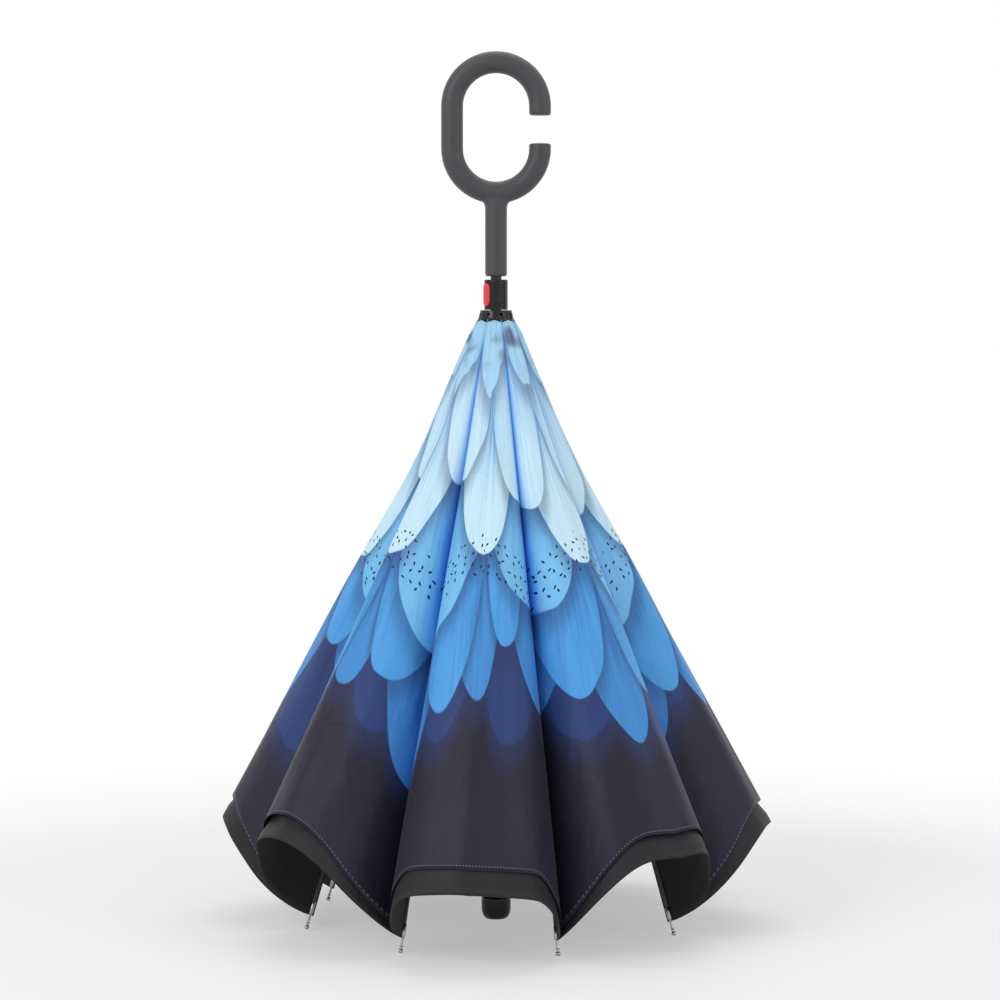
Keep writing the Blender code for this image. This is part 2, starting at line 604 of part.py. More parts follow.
def outer_panel_mesh():
    """From the ferrule up over the strut, round the fold near the rib joint, and down the rib."""
    ferrule_z = FERRULE_HEIGHT + GAP + CLOTH_THICKNESS
    rim = NOTCH_RADIUS + 2 * CLOTH_THICKNESS
    neck = NOTCH_HUB_RADIUS + 2 * CLOTH_THICKNESS
    rows = []
    for point in ((neck, ferrule_z), (rim, ferrule_z + CLOTH_THICKNESS), (rim, NOTCH_HINGE_Z)):
        rows.append(cloth_row(point, point, STRUT_CREASE_HALF))
    fold_top = STRUT_LENGTH - FOLD_DROP
    for share in OUTER_STRUT_ROW_SHARES:
        valley = strut_point(fold_top * share, OUTER_OVER_STRUT)
        room = rib_point((RIB_HINGE_Z - valley[1]) / math.cos(RIB_ANGLE))[0] - valley[0]
        crest = (valley[0] + STRUT_BULGE_SHARE * room, valley[1])
        rows.append(cloth_row(valley, crest, STRUT_CREASE_HALF))
    start = STRUT_JOINT_DISTANCE + FOLD_DROP
    end = RIB_LENGTH - OUTER_HEM_FROM_TIP
    inside = rib_point(start, -OUTER_UNDER_RIB)
    outside = strut_point(fold_top, OUTER_OVER_STRUT)
    ridge = ((inside[0] + outside[0]) / 2, inside[1] + FOLD_RISE)
    ridge_crest = (inside[0] + OUTER_UNDER_RIB, ridge[1] + FOLD_RISE)
    rows.append(cloth_row(ridge, ridge_crest, RIB_CREASE_HALF))
    for share in OUTER_RIB_ROW_SHARES:
        valley = rib_point(start + (end - start) * share, -OUTER_UNDER_RIB)
        height = inside[1] + (OUTER_HEM_CREST_Z - inside[1]) * share
        rows.append(cloth_row(valley, (outer_crest(height), height), RIB_CREASE_HALF))
    return cloth_mesh("outer_panel", rows)


def make_empty(name, radius, offset, height, angle):
    """A frame on a hinge, with its X axis pointing out along the rib's plane."""
    empty = bpy.data.objects.new(name, None)
    bpy.context.scene.collection.objects.link(empty)
    x = radius * math.cos(angle) - offset * math.sin(angle)
    y = radius * math.sin(angle) + offset * math.cos(angle)
    empty.location = (x, y, height)
    empty.rotation_euler = (0, 0, angle)
    return empty


def make_rib_sets():
    meshes = {
        "rib": (rib_mesh(), "glass_fibre"),
        "rib_tip": (tip_mesh(), "steel"),
        "rib_clamp": (clamp_mesh(), "black_steel"),
        "inner_panel": (inner_panel_mesh(), "printed_cloth"),
        "outer_panel": (outer_panel_mesh(), "black_cloth"),
    }
    strut = strut_mesh()
    for index in range(RIB_COUNT):
        angle = sector_angle(index)
        number = index + 1
        hinge = make_empty(f"rib_hinge_{number}", HINGE_RADIUS, 0.0, RIB_HINGE_Z, angle)
        for kind, (mesh, finish) in meshes.items():
            piece = place(f"{kind}_{number}", mesh, finish)
            piece.parent = hinge
            if kind.endswith("panel"):
                sheet = piece.modifiers.new("thickness", "SOLIDIFY")
                sheet.thickness = CLOTH_THICKNESS
                sheet.offset = 0.0
        notch = make_empty(f"strut_hinge_{number}", HINGE_RADIUS, STRUT_OFFSET, NOTCH_HINGE_Z, angle)
        place(f"strut_{number}", strut, "black_steel").parent = notch


def main():
    clear_scene()
    make_shaft()
    make_handle()
    make_runner_sleeve()
    make_runner_crown()
    make_button()
    make_top_notch()
    make_ferrule()
    make_catch()
    make_rib_sets()
    bpy.context.view_layer.update()


main()
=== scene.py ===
"""The looks of an inverted umbrella, closed and standing on its rib tips."""

import json
import math

import bmesh
import bpy
import numpy as np
from mathutils import Matrix, Vector


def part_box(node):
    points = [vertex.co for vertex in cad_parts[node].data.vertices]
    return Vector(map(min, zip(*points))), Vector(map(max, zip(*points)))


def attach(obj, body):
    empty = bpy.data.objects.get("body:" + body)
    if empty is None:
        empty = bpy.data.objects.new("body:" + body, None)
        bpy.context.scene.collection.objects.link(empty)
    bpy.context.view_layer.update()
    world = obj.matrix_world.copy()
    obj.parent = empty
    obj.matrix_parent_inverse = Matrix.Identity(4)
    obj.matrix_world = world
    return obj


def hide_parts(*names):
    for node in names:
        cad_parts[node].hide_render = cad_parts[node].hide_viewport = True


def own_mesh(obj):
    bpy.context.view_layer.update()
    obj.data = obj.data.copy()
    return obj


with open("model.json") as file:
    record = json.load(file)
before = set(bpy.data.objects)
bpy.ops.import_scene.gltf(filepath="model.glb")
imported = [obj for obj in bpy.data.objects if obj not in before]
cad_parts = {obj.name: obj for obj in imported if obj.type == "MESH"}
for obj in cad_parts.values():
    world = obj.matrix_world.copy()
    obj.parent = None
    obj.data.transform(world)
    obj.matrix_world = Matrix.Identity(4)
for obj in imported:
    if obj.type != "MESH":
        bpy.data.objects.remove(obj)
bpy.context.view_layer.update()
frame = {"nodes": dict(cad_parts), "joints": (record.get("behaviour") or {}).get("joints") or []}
JOINTS = {joint["name"]: joint for joint in frame["joints"]}

# The photograph's frame: where the camera stands and what it looks at
CAMERA_DISTANCE = 2.85
CAMERA_HEIGHT = 0.56
CAMERA_SENSOR = 36.0
FRAME_HEIGHT_AT_AXIS = 0.9160
AIM_Z = 0.3866
AIM_X = 0.0036

# Linkage, from the frame
RIB_COUNT = 8
HINGE_X, HINGE_Y, HINGE_Z = Vector(JOINTS["rib_1_hinge"]["pos_m"])
HINGE_RADIUS = math.hypot(HINGE_X, HINGE_Y)
HINGE_PLACES = [JOINTS[f"rib_{n}_hinge"]["pos_m"] for n in range(1, RIB_COUNT + 1)]
RIB_AZIMUTHS = [math.atan2(place[1], place[0]) for place in HINGE_PLACES]
NOTCH_HINGE_Z = JOINTS["strut_1_hinge"]["pos_m"][2]
SECTOR = 2 * math.pi / RIB_COUNT


def beside_first_rib(point):
    """A world point in the first rib's own plane: X out along the rib, Y beside it."""
    turn = -RIB_AZIMUTHS[0]
    x = point[0] * math.cos(turn) - point[1] * math.sin(turn)
    y = point[0] * math.sin(turn) + point[1] * math.cos(turn)
    return Vector((x, y, point[2]))


TIP_REACH = max(beside_first_rib(v.co).x for v in frame["nodes"]["rib_tip_1"].data.vertices)
BALL_RADIUS = 0.0022
TIP_CENTRE = Vector((TIP_REACH - BALL_RADIUS, 0, BALL_RADIUS))
RIB_LENGTH = math.hypot(TIP_CENTRE.x - HINGE_RADIUS, HINGE_Z - TIP_CENTRE.z)
RIB_ANGLE = math.atan2(TIP_CENTRE.x - HINGE_RADIUS, HINGE_Z - TIP_CENTRE.z)
TIP_LENGTH = 0.0240

RIB_OPEN_ANGLE = RIB_ANGLE + math.radians(JOINTS["rib_1_hinge"]["range_deg"][1])
JOINT_DISTANCE = 0.2400
JOINT_RADIUS = HINGE_RADIUS + JOINT_DISTANCE * math.sin(RIB_ANGLE)
JOINT_Z = HINGE_Z - JOINT_DISTANCE * math.cos(RIB_ANGLE)
STRUT_LENGTH = math.hypot(JOINT_RADIUS - HINGE_RADIUS, JOINT_Z - NOTCH_HINGE_Z)
STRUT_ANGLE = math.atan2(JOINT_RADIUS - HINGE_RADIUS, JOINT_Z - NOTCH_HINGE_Z)
STRUT_OPEN_ANGLE = STRUT_ANGLE + math.radians(JOINTS["strut_1_hinge"]["range_deg"][1])

# Cloth. Its layers, and how far it lies from the bars
CLOTH_THICKNESS = 0.0004
LAYER = 0.0008
LAYER_AT_CREST = 0.0026
LAYER_SPREAD_SHARE = 0.25
INNER_OVER_RIB = 0.0046
OUTER_UNDER_RIB = 0.0030
OUTER_OVER_STRUT = 0.0040
NOTCH_CLOTH_RADIUS = 0.0178
CREST_CLEARANCE = 0.0012
# The inner canopy's outline: its top, its hem's crests, and how far it draws in between
TOP_Z = 0.5490
TOP_RADIUS = 0.0185
HEM_CREST_RADIUS = 0.2455
HEM_CREST_Z = 0.1070
CREST_DIP = 0.0045
WAIST_DIP = 0.0060
WAIST_SHARE = 0.28
WAIST_SPREAD_SHARE = 0.17
# Hems, from the rib tips
INNER_HEM_FROM_TIP = 0.0200
INNER_HEM_CUT = 0.0140
OUTER_HEM_FROM_TIP = 0.0110
HEM_FLATTENED = 0.0340
HEM_CUT_POWER = 3
# From the front-right gap round: how far each gap's hem is drawn up, how wide of the ribs, and how far
# its crest stands out
GAP_HEM_CUTS = (0.052, 0.054, 0.050, 0.056, 0.050, 0.054, 0.062, 0.027)
GAP_HEM_DIVES = (0.75, 0.85, 0.70, 0.70, 0.70, 0.85, 1.00, 0.42)
GAP_SWELLS = (0.000, 0.004, -0.008, 0.010, -0.004, 0.020, 0.012, 0.000)
# Below this height the outer canopy comes out level with the inner one's hem
OUTER_LEVEL_Z = 0.1000
OUTER_LEVEL_RISE = 0.0150
# The ring of strut joints, where the outer canopy is in two rows of gores
JOINT_CLOTH_MARGIN = 0.0120
JOINT_EDGE_POWER = 4
JOINT_CLEAR = 0.0070
JOINT_CLEAR_EASE = 0.0050
JOINT_REACH = 0.0130
OUTER_START = JOINT_DISTANCE + JOINT_CLOTH_MARGIN
STRUT_CLOTH_END = STRUT_LENGTH - JOINT_CLOTH_MARGIN
STRUT_CLOTH_START = 0.0040
STRUT_BULGE_SHARE = 0.60
STRUT_BULGE_MOST = 0.0125
# Folds: how square the lobes are, and by how much, from gap to gap, they lean
FOLD_SHARPNESS = 0.56
GAP_LEAN = 0.10
GAP_LEAN_STEP = 2.4
GAP_LEAN_START = 0.7
LONG_FOLDS_POWER = 0.7
PINCH_FADE = 0.12
PINCH_START = 0.02
CREASE_CROWDING = 1.5
# Laps: where neighbouring gores meet, and where a gore's own strips do
SEAM_GAP = -0.0002
CREST_LAP = 0.0030
STRUT_CREST_LAP = 0.0010
CREST_LAP_MOST = math.radians(3)
CREST_LAP_DEPTH = 0.00025
TUCK_LAP = math.radians(1.2)
TUCK_OVERLAP = 0.0016
TUCK_SHORTER = 0.0035
TUCK_SAMPLES = 120
TUCK_REACH_SECTORS = 1.75
TUCK_LEAST_ANGLE = 0.01
# Shares of a sector's cloth, from a bar: at the crest, at the neighbour's crease and at the seam
AROUND_AT_CREST = 0.25
AROUND_AT_TUCK = 0.38
AROUND_AT_SEAM = 0.50
AROUND_LAP = 0.01
# The search for a row's height: first step, steps, and what counts as level or as found
SEARCH_FIRST_STEP = 0.01
SEARCH_STEPS = 14
SEARCH_LEVEL = 1e-13
SEARCH_FOUND = 1e-10


# Node writing helpers

class Shade:
    """Writes a material's nodes with short calls."""

    def __init__(self, name):
        self.material = bpy.data.materials.new(name)
        self.material.use_nodes = True
        self.tree = self.material.node_tree
        self.shader = self.tree.nodes["Principled BSDF"]

    def node(self, kind, **settings):
        made = self.tree.nodes.new("ShaderNode" + kind)
        for key, value in settings.items():
            setattr(made, key, value)
        return made

    def put(self, socket, value):
        if isinstance(value, bpy.types.NodeSocket):
            self.tree.links.new(value, socket)
        elif value is not None:
            socket.default_value = value

    def fed(self, kind, *values, **settings):
        """The first output of a new node with these values in its first inputs."""
        made = self.node(kind, **settings)
        for socket, value in zip(made.inputs, values):
            self.put(socket, value)
        return made.outputs[0]

    def named(self, kind, **values):
        """The first output of a new node with these values in the inputs of these names."""
        made = self.node(kind)
        for name, value in values.items():
            self.put(made.inputs[name], value)
        return made.outputs[0]

    def math(self, operation, a, b=None, c=None, clamp=False):
        return self.fed("Math", a, b, c, operation=operation, use_clamp=clamp)

    def times(self, a, b):
        return self.math("MULTIPLY", a, b)

    def plus(self, a, b, clamp=False):
        return self.math("ADD", a, b, clamp=clamp)

    def less(self, a, b):
        return self.math("SUBTRACT", a, b)

    def apart(self, a, b):
        return self.math("ABSOLUTE", self.less(a, b))

    def swing(self, value, width):
        """Runs from minus half the width to plus half as the value goes from 0 to 1."""
        return self.math("MULTIPLY_ADD", value, width, -width / 2)

    def step(self, value, low, high):
        """Rises smoothly from 0 at low to 1 at high."""
        return self.fed("MapRange", value, low, high, interpolation_type="SMOOTHSTEP")

    def mix(self, factor, a, b, blend="MIX"):
        made = self.node("Mix", data_type="RGBA", blend_type=blend)
        self.put(made.inputs[0], factor)
        for socket, value in ((made.inputs[6], a), (made.inputs[7], b)):
            if isinstance(value, tuple):
                value = (*value, 1.0)
            self.put(socket, value)
        return made.outputs[2]

    def vector(self, *parts):
        return self.fed("CombineXYZ", *parts)

    def parts(self, vector):
        made = self.node("SeparateXYZ")
        self.put(made.inputs[0], vector)
        return made.outputs

    def length(self, vector):
        made = self.node("VectorMath", operation="LENGTH")
        self.put(made.inputs[0], vector)
        return made.outputs["Value"]

    def noise(self, vector, scale, detail=3.0, rough=0.5):
        return self.named("TexNoise", Vector=vector, Scale=scale, Detail=detail, Roughness=rough)

    def position(self):
        return self.node("TexCoord").outputs["Object"]

    def scaled(self, vector, scale):
        return self.named("Mapping", Vector=vector, Scale=scale)

    def bump(self, height, distance, strength, normal=None):
        return self.named("Bump", Height=height, Distance=distance, Strength=strength, Normal=normal)

    def set(self, **values):
        for key, value in values.items():
            if isinstance(value, tuple):
                value = (*value, 1.0)
            self.put(self.shader.inputs[key.replace("_", " ")], value)

    def dull(self, pattern, least, spread):
        """Sets a roughness that follows a pattern."""
        self.set(Roughness=self.math("MULTIPLY_ADD", pattern, spread, least))


def mottled(name, dark, light, clouds, dull, grain, bump, drawn=None, **finish):
    """A solid surface: two close colours in soft clouds, an uneven gloss and a fine grain.

    clouds is a noise scale, with detail if given. dull is a noise scale, the least roughness and its
    spread. grain is a noise scale, with detail and roughness if given. bump is a depth and a strength.
    drawn scales the place that the grain is read at, to draw it out.
    """
    s = Shade(name)
    spot = s.position()
    s.set(Base_Color=s.mix(s.noise(spot, *clouds), dark, light))
    s.dull(s.noise(spot, dull[0]), *dull[1:])
    grained = s.scaled(spot, drawn) if drawn else spot
    s.set(Normal=s.bump(s.noise(grained, *grain), *bump), **finish)
    return s.material


def plastic(name, dark, light, least_roughness, gloss):
    return mottled(name, dark, light, (90.0, 4.0), (120.0, least_roughness, 0.14), (1800.0, 2.0),
                   (0.00002, 0.5), Specular_IOR_Level=gloss)


def glass_fibre():
    """Strands along the ribs, in colour, gloss and relief alike."""
    s = Shade("glass_fibre")
    strands = s.noise(s.scaled(s.position(), (1.0, 1.0, 0.03)), 1500.0, 2.0)
    s.set(Base_Color=s.mix(strands, (0.016, 0.016, 0.019), (0.040, 0.040, 0.045)))
    s.dull(strands, 0.3, 0.2)
    s.set(Normal=s.bump(strands, 0.00005, 0.6))
    return s.material


# Wrinkles, long and small: noise scale, how much of the height it reads, depth and strength
WRINKLES = ((26.0, 0.28, 0.0060, 0.45), (110.0, 0.50, 0.0012, 0.35))
WRINKLE_ROUGHNESS = 0.55
THREAD_SCALE = 1500.0
THREAD_DEPTH = 0.00012
THREAD_STRENGTH = 0.35
SECTOR_WIDTH_FOR_THREADS = 0.2


def cloth_coordinates(s):
    """Around: sectors, a whole number at each rib. Along: metres of cloth from the crown."""
    around, along, _ = s.parts(s.node("UVMap", uv_map="cloth").outputs[0])
    return around, along


def cloth_bump(s, around, along):
    """Wrinkles, and over them a fine unevenness at the pitch of the threads."""
    normal = None
    for scale, squeeze, depth, strength in WRINKLES:
        place = s.scaled(s.position(), (1.0, 1.0, squeeze))
        normal = s.bump(s.noise(place, scale, 3.0, WRINKLE_ROUGHNESS), depth, strength, normal)
    threads = s.noise(s.vector(s.times(around, SECTOR_WIDTH_FOR_THREADS), along), THREAD_SCALE, 1.0, 0.4)
    return s.bump(threads, THREAD_DEPTH, THREAD_STRENGTH, normal)


# The print. Of each tier: scallops to a gore, phase, tip, depth, wander, edge softness, colour at the edges,
# colour in the middle
SCALLOP_TIERS = (
    (4, 0.0, 0.400, 0.110, 0.060, 0.0026, (0.012, 0.018, 0.070), (0.022, 0.050, 0.175)),
    (4, 0.5, 0.362, 0.120, 0.085, 0.0016, (0.018, 0.080, 0.310), (0.060, 0.270, 0.640)),
    (4, 0.0, 0.335, 0.130, 0.060, 0.0014, (0.020, 0.110, 0.380), (0.080, 0.360, 0.770)),
    (2, 0.5, 0.275, 0.100, 0.040, 0.0014, (0.050, 0.230, 0.600), (0.200, 0.540, 0.870)),
    (2, 0.0, 0.225, 0.140, 0.040, 0.0012, (0.120, 0.420, 0.820), (0.590, 0.830, 0.960)),
    (2, 0.5, 0.160, 0.100, 0.040, 0.0010, (0.140, 0.440, 0.820), (0.590, 0.830, 0.960)),
    (2, 0.0, 0.060, 0.050, 0.016, 0.0010, (0.130, 0.400, 0.760), (0.400, 0.690, 0.900)),
)
SCALLOP_POWER = 2.2
SCALLOP_NUMBERS = 32.0
TIER_SEED = 40
VEIN_CROWDING = 46.0
VEIN_LENGTH = 9.0
VEIN_SEED = 20.0
VEIN_WEIGHT = 1.1
STREAK_HEIGHT_SCALE = 0.9
STREAK_ROUGHNESS = 0.62
STREAK_WEIGHT = 0.7
PRINT_SWAY = 0.16
PRINT_LIFT = 0.06
TIER_SHADE = (0.020, 0.040, 0.135)
TIER_SHADE_REACH = 0.040
TIER_SHADE_WEIGHT = 0.50
RIM_POWER = 3.0
RIM_WEIGHT = 0.70
BASE_FADE = (0.03, 0.15)
BASE_WEIGHT = 0.60
BRIGHTEST_TONE = 1.04
NIGHT_COLOURS = (0.0105, 0.0090, 0.0190), (0.0190, 0.0165, 0.0310)
# Painted shade: a deeper blue multiplied into the cloth along each rib's crease, standing in for the shade
# that falls in the folds. Its colour, half width in sectors, where it fades out low down and in near the
# crown, and its strength
CREASE_PAINTED_SHADE = (0.10, 0.42, 0.90)
CREASE_SHADE_HALF = 0.055
CREASE_SHADE_ENDS = (0.34, 0.26), (0.01, 0.05)
CREASE_SHADE_WEIGHT = 0.80
CROWN_STAIN = (0.075, 0.060, 0.160)
STAIN_FADE = (0.062, 0.030)
STAIN_SCALE = 48.0
STAIN_PATCHES = (0.48, 0.74)
STAIN_WEIGHT = 0.80
PRESS_LINES = (0.150, 0.285, 0.420)
PRESS_LINE_HALF = 0.0012
PRESS_LINE_WEIGHT = 0.8
VENT_COLOUR = (0.006, 0.018, 0.060)
SECTOR_WIDTH_AT_VENTS = 0.2200
VENT_MIDDLE = 0.2480
VENT_WAVE = 0.0110
VENT_WAVES_TO_A_SECTOR = 2
VENT_BAND_HALF = 0.0210
VENTS_PER_METRE = 112.0
VENT_SCATTER = 0.75
VENT_TURN = 2.4
VENT_HALF_WIDTH = 0.0009
VENT_HALF_LENGTH = 0.0019
VENT_EDGE = (1.1, 0.9)

# Hems: distance of the stitches from the edge, and stitches to a sector
PRINT_HEM = (0.0040, 150.0)
PLAIN_HEM = (0.0060, 120.0)
HEM_STEP = 0.0008
STITCH_COLOUR = (0.170, 0.165, 0.180)
STITCH_WEIGHT = 0.8
STITCH_WIDTH = (0.00085, 0.00045)
STITCH_LENGTH = (0.32, 0.24)
PLAIN_COLOURS = (0.0110, 0.0102, 0.0125), (0.0205, 0.0172, 0.0198)
PLAIN_HEM_COLOUR = (0.034, 0.026, 0.027)
PLAIN_HEM_WEIGHT = 0.3


def scallop_tier(s, around, along, count, phase, tip, depth, wander):
    """How far inside a tier of scallops a place is, how far from the middle line, and its veins.

    A whole number of scallops fills a gore. Those on either side of a crest are alike, so that a
    folded canopy shows an unbroken pattern.
    """
    turns = s.math("MULTIPLY_ADD", around, float(count), phase)
    number = s.math("FLOOR", turns)
    part = s.math("MODULO", s.plus(number, float(RIB_COUNT * count)), float(count))
    second_half = s.math("GREATER_THAN", part, count / 2 - 0.5)
    twin = s.less(number, s.times(second_half, count / 2))
    off = s.times(s.apart(s.math("FRACT", turns), 0.5), 2.0)
    random = s.node("TexWhiteNoise", noise_dimensions="1D")
    own_number = s.math("MODULO", s.plus(twin, 2 * SCALLOP_NUMBERS), SCALLOP_NUMBERS)
    s.put(random.inputs["W"], s.plus(own_number, TIER_SEED * tip))
    chance = random.outputs["Value"]
    reach = s.math("MULTIPLY_ADD", chance, wander, tip)
    edge = s.less(reach, s.times(s.math("POWER", off, SCALLOP_POWER), depth))
    grain = s.vector(s.times(off, VEIN_CROWDING / count), s.times(along, VEIN_LENGTH),
                     s.times(chance, VEIN_SEED))
    return s.less(edge, along), off, s.noise(grain, 1.0, 3.0, 0.6)


def streaks(s, scale, detail=5.0):
    """Noise drawn out down the cloth, from the direction about the axis and the height."""
    x, y, z = s.parts(s.position())
    way = s.parts(s.fed("VectorMath", s.vector(x, y), operation="NORMALIZE"))
    place = s.vector(way[0], way[1], s.times(z, STREAK_HEIGHT_SCALE))
    return s.noise(place, scale, detail, STREAK_ROUGHNESS)


def vents(s, around, along):
    """A wavy band of small seed-shaped holes."""
    local = s.vector(s.times(around, SECTOR_WIDTH_AT_VENTS), along)
    cells = s.node("TexVoronoi", voronoi_dimensions="2D")
    for name, value in (("Vector", local), ("Scale", VENTS_PER_METRE), ("Randomness", VENT_SCATTER)):
        s.put(cells.inputs[name], value)
    seed_at = cells.outputs["Position"]
    spin = s.node("VectorRotate", rotation_type="Z_AXIS")
    s.put(spin.inputs["Vector"], s.fed("VectorMath", local, seed_at, operation="SUBTRACT"))
    s.put(spin.inputs["Angle"], s.swing(s.fed("SeparateColor", cells.outputs["Color"]), VENT_TURN))
    reach = s.length(s.scaled(spin.outputs[0], (1 / VENT_HALF_WIDTH, 1 / VENT_HALF_LENGTH, 1.0)))
    wave = s.math("COSINE", s.times(around, 2 * math.pi * VENT_WAVES_TO_A_SECTOR))
    middle = s.math("MULTIPLY_ADD", wave, VENT_WAVE, VENT_MIDDLE)
    band = s.math("LESS_THAN", s.apart(s.parts(seed_at)[1], middle), VENT_BAND_HALF)
    return s.times(band, s.step(reach, *VENT_EDGE))


def hem(s, around, width, stitches):
    """A row of stitches, and the doubled edge under them."""
    to_hem = s.parts(s.node("UVMap", uv_map="edge").outputs[0])[1]
    run = s.apart(s.math("FRACT", s.times(around, stitches)), 0.5)
    line = s.step(s.apart(to_hem, width), *STITCH_WIDTH)
    return s.times(s.step(run, *STITCH_LENGTH), line), s.step(to_hem, width + HEM_STEP, width)


def printed_cloth():
    """Tiers of scallops in blues over a near-black ground, with painted shade along the ribs' creases, a band
    of vents and a stitched hem.
    """
    s = Shade("printed_cloth")
    around, along = cloth_coordinates(s)
    spot = s.position()
    fine = streaks(s, 14.0)
    broad = streaks(s, 3.0, 1.0)
    swayed = s.plus(around, s.swing(broad, PRINT_SWAY))
    lifted = s.plus(along, s.swing(broad, PRINT_LIFT))
    colour = s.mix(s.noise(spot, 14.0), *NIGHT_COLOURS)
    for count, phase, tip, depth, wander, soft, deep, bright in SCALLOP_TIERS:
        left, off, veins = scallop_tier(s, swayed, lifted, count, phase, tip, depth, wander)
        shade = s.times(s.step(left, -TIER_SHADE_REACH, 0.0), TIER_SHADE_WEIGHT)
        colour = s.mix(shade, colour, TIER_SHADE)
        rim = s.times(s.math("POWER", off, RIM_POWER), RIM_WEIGHT)
        base = s.times(s.step(left, *BASE_FADE), BASE_WEIGHT)
        tone = s.plus(s.less(s.less(BRIGHTEST_TONE, rim), base), s.swing(fine, STREAK_WEIGHT))
        tone = s.plus(tone, s.swing(veins, VEIN_WEIGHT), clamp=True)
        colour = s.mix(s.step(left, -soft, soft), colour, s.mix(tone, deep, bright))
    # Painted shade in the creases along the ribs, strongest in the upper part of the canopy
    to_rib = s.apart(s.math("FRACT", s.plus(around, 0.5)), 0.5)
    crease = s.step(to_rib, CREASE_SHADE_HALF, 0.0)
    for end in CREASE_SHADE_ENDS:
        crease = s.times(crease, s.step(along, *end))
    colour = s.mix(s.times(crease, CREASE_SHADE_WEIGHT), colour, CREASE_PAINTED_SHADE, "MULTIPLY")
    stain = s.times(s.step(along, *STAIN_FADE), s.step(s.noise(spot, STAIN_SCALE, 1.0), *STAIN_PATCHES))
    colour = s.mix(s.times(stain, STAIN_WEIGHT), colour, CROWN_STAIN)
    holes = vents(s, around, along)
    colour = s.mix(holes, colour, VENT_COLOUR)
    stitch, fold = hem(s, around, *PRINT_HEM)
    s.set(Base_Color=s.mix(s.times(stitch, STITCH_WEIGHT), colour, STITCH_COLOUR))
    s.dull(s.noise(spot, 40.0), 0.46, 0.15)
    relief = s.plus(s.less(stitch, holes), fold)
    for place in PRESS_LINES:
        line = s.step(s.apart(lifted, place), PRESS_LINE_HALF, 0.0)
        relief = s.plus(relief, s.times(line, PRESS_LINE_WEIGHT))
    s.set(Normal=s.bump(relief, 0.00035, 0.8, cloth_bump(s, around, along)), Sheen_Weight=0.06,
          Sheen_Roughness=0.40, Specular_IOR_Level=0.28, Specular_Tint=(0.86, 0.82, 1.0))
    return s.material


def plain_cloth():
    s = Shade("plain_cloth")
    around, along = cloth_coordinates(s)
    spot = s.position()
    stitch, fold = hem(s, around, *PLAIN_HEM)
    colour = s.mix(s.noise(spot, 18.0), *PLAIN_COLOURS)
    s.set(Base_Color=s.mix(s.times(fold, PLAIN_HEM_WEIGHT), colour, PLAIN_HEM_COLOUR))
    s.dull(s.noise(spot, 40.0), 0.52, 0.15)
    s.set(Normal=s.bump(s.plus(fold, stitch), 0.0003, 0.7, cloth_bump(s, around, along)), Sheen_Weight=0.05,
          Sheen_Roughness=0.4, Specular_IOR_Level=0.24)
    return s.material


MATERIALS = {
    "grip": mottled("soft_grip", (0.031, 0.029, 0.035), (0.045, 0.043, 0.049), (60.0, 4.0),
                    (25.0, 0.46, 0.12), (2600.0, 2.0, 0.6), (0.00008, 0.6),
                    Sheen_Weight=0.15, Sheen_Roughness=0.5),
    "black_plastic": plastic("black_plastic", (0.003, 0.003, 0.004), (0.008, 0.008, 0.009), 0.16, 0.3),
    "red_plastic": plastic("red_plastic", (0.66, 0.020, 0.030), (0.84, 0.042, 0.056), 0.18, 0.5),
    "steel": mottled("plated_steel", (0.24, 0.24, 0.25), (0.46, 0.46, 0.47), (300.0,), (500.0, 0.16, 0.16),
                     (3000.0,), (0.00003, 0.5), (1.0, 1.0, 0.05), Metallic=1.0),
    "coated_steel": mottled("coated_steel", (0.024, 0.024, 0.027), (0.040, 0.040, 0.044), (200.0,),
                            (300.0, 0.27, 0.15), (1400.0,), (0.00004, 0.6), Metallic=0.6),
    "glass_fibre": glass_fibre(),
    "printed_cloth": printed_cloth(),
    "plain_cloth": plain_cloth(),
}


# Mesh helpers

def linked(name, data):
    obj = bpy.data.objects.new(name, data)
    bpy.context.scene.collection.objects.link(obj)
    return obj


def mesh_of(bm, name):
    mesh = bpy.data.meshes.new(name)
    bm.to_mesh(mesh)
    bm.free()
    return mesh


def sharpen(obj, degrees):
    obj.data.set_sharp_from_angle(angle=math.radians(degrees))


def add_object(name, mesh, material, sharp_degrees=None):
    obj = linked(name, mesh)
    mesh.materials.append(MATERIALS[material])
    mesh.shade_smooth()
    if sharp_degrees:
        sharpen(obj, sharp_degrees)
    return obj


def rings_mesh(name, rings, closed=False):
    """A skin over rings of points, capped at both ends, or joined from the last ring to the first."""
    bm = bmesh.new()
    loops = [[bm.verts.new(point) for point in ring] for ring in rings]
    pairs = list(zip(loops, loops[1:]))
    if closed:
        pairs.append((loops[-1], loops[0]))
    for first, second in pairs:
        for i in range(len(first)):
            j = (i + 1) % len(first)
            bm.faces.new((first[i], first[j], second[j], second[i]))
    if not closed:
        bm.faces.new(loops[0])
        bm.faces.new(loops[-1])
    bmesh.ops.recalc_face_normals(bm, faces=bm.faces)
    return mesh_of(bm, name)


def full_turn(sides):
    return [2 * math.pi * i / sides for i in range(sides)]


def at(radius, turn, height):
    return Vector((radius * math.cos(turn), radius * math.sin(turn), height))


def circle(radius, height, sides):
    return [at(radius, turn, height) for turn in full_turn(sides)]


def quarter_round(steps):
    """What a quarter circle leaves of its radius, one way and the other, at even steps along it."""
    turns = [math.pi / 2 * i / steps for i in range(steps + 1)]
    return [(1 - math.cos(turn), 1 - math.sin(turn)) for turn in turns]


def tube_rings(points, radii, sides):
    """Rings about a line of points in the XZ plane."""
    rings = []
    last = len(points) - 1
    side = Vector((0, 1, 0))
    for i, point in enumerate(points):
        along = (points[min(i + 1, last)] - points[max(i - 1, 0)]).normalized()
        across = side.cross(along).normalized()
        rings.append([point + across * radii[i] * math.cos(a) + side * radii[i] * math.sin(a)
                      for a in full_turn(sides)])
    return rings


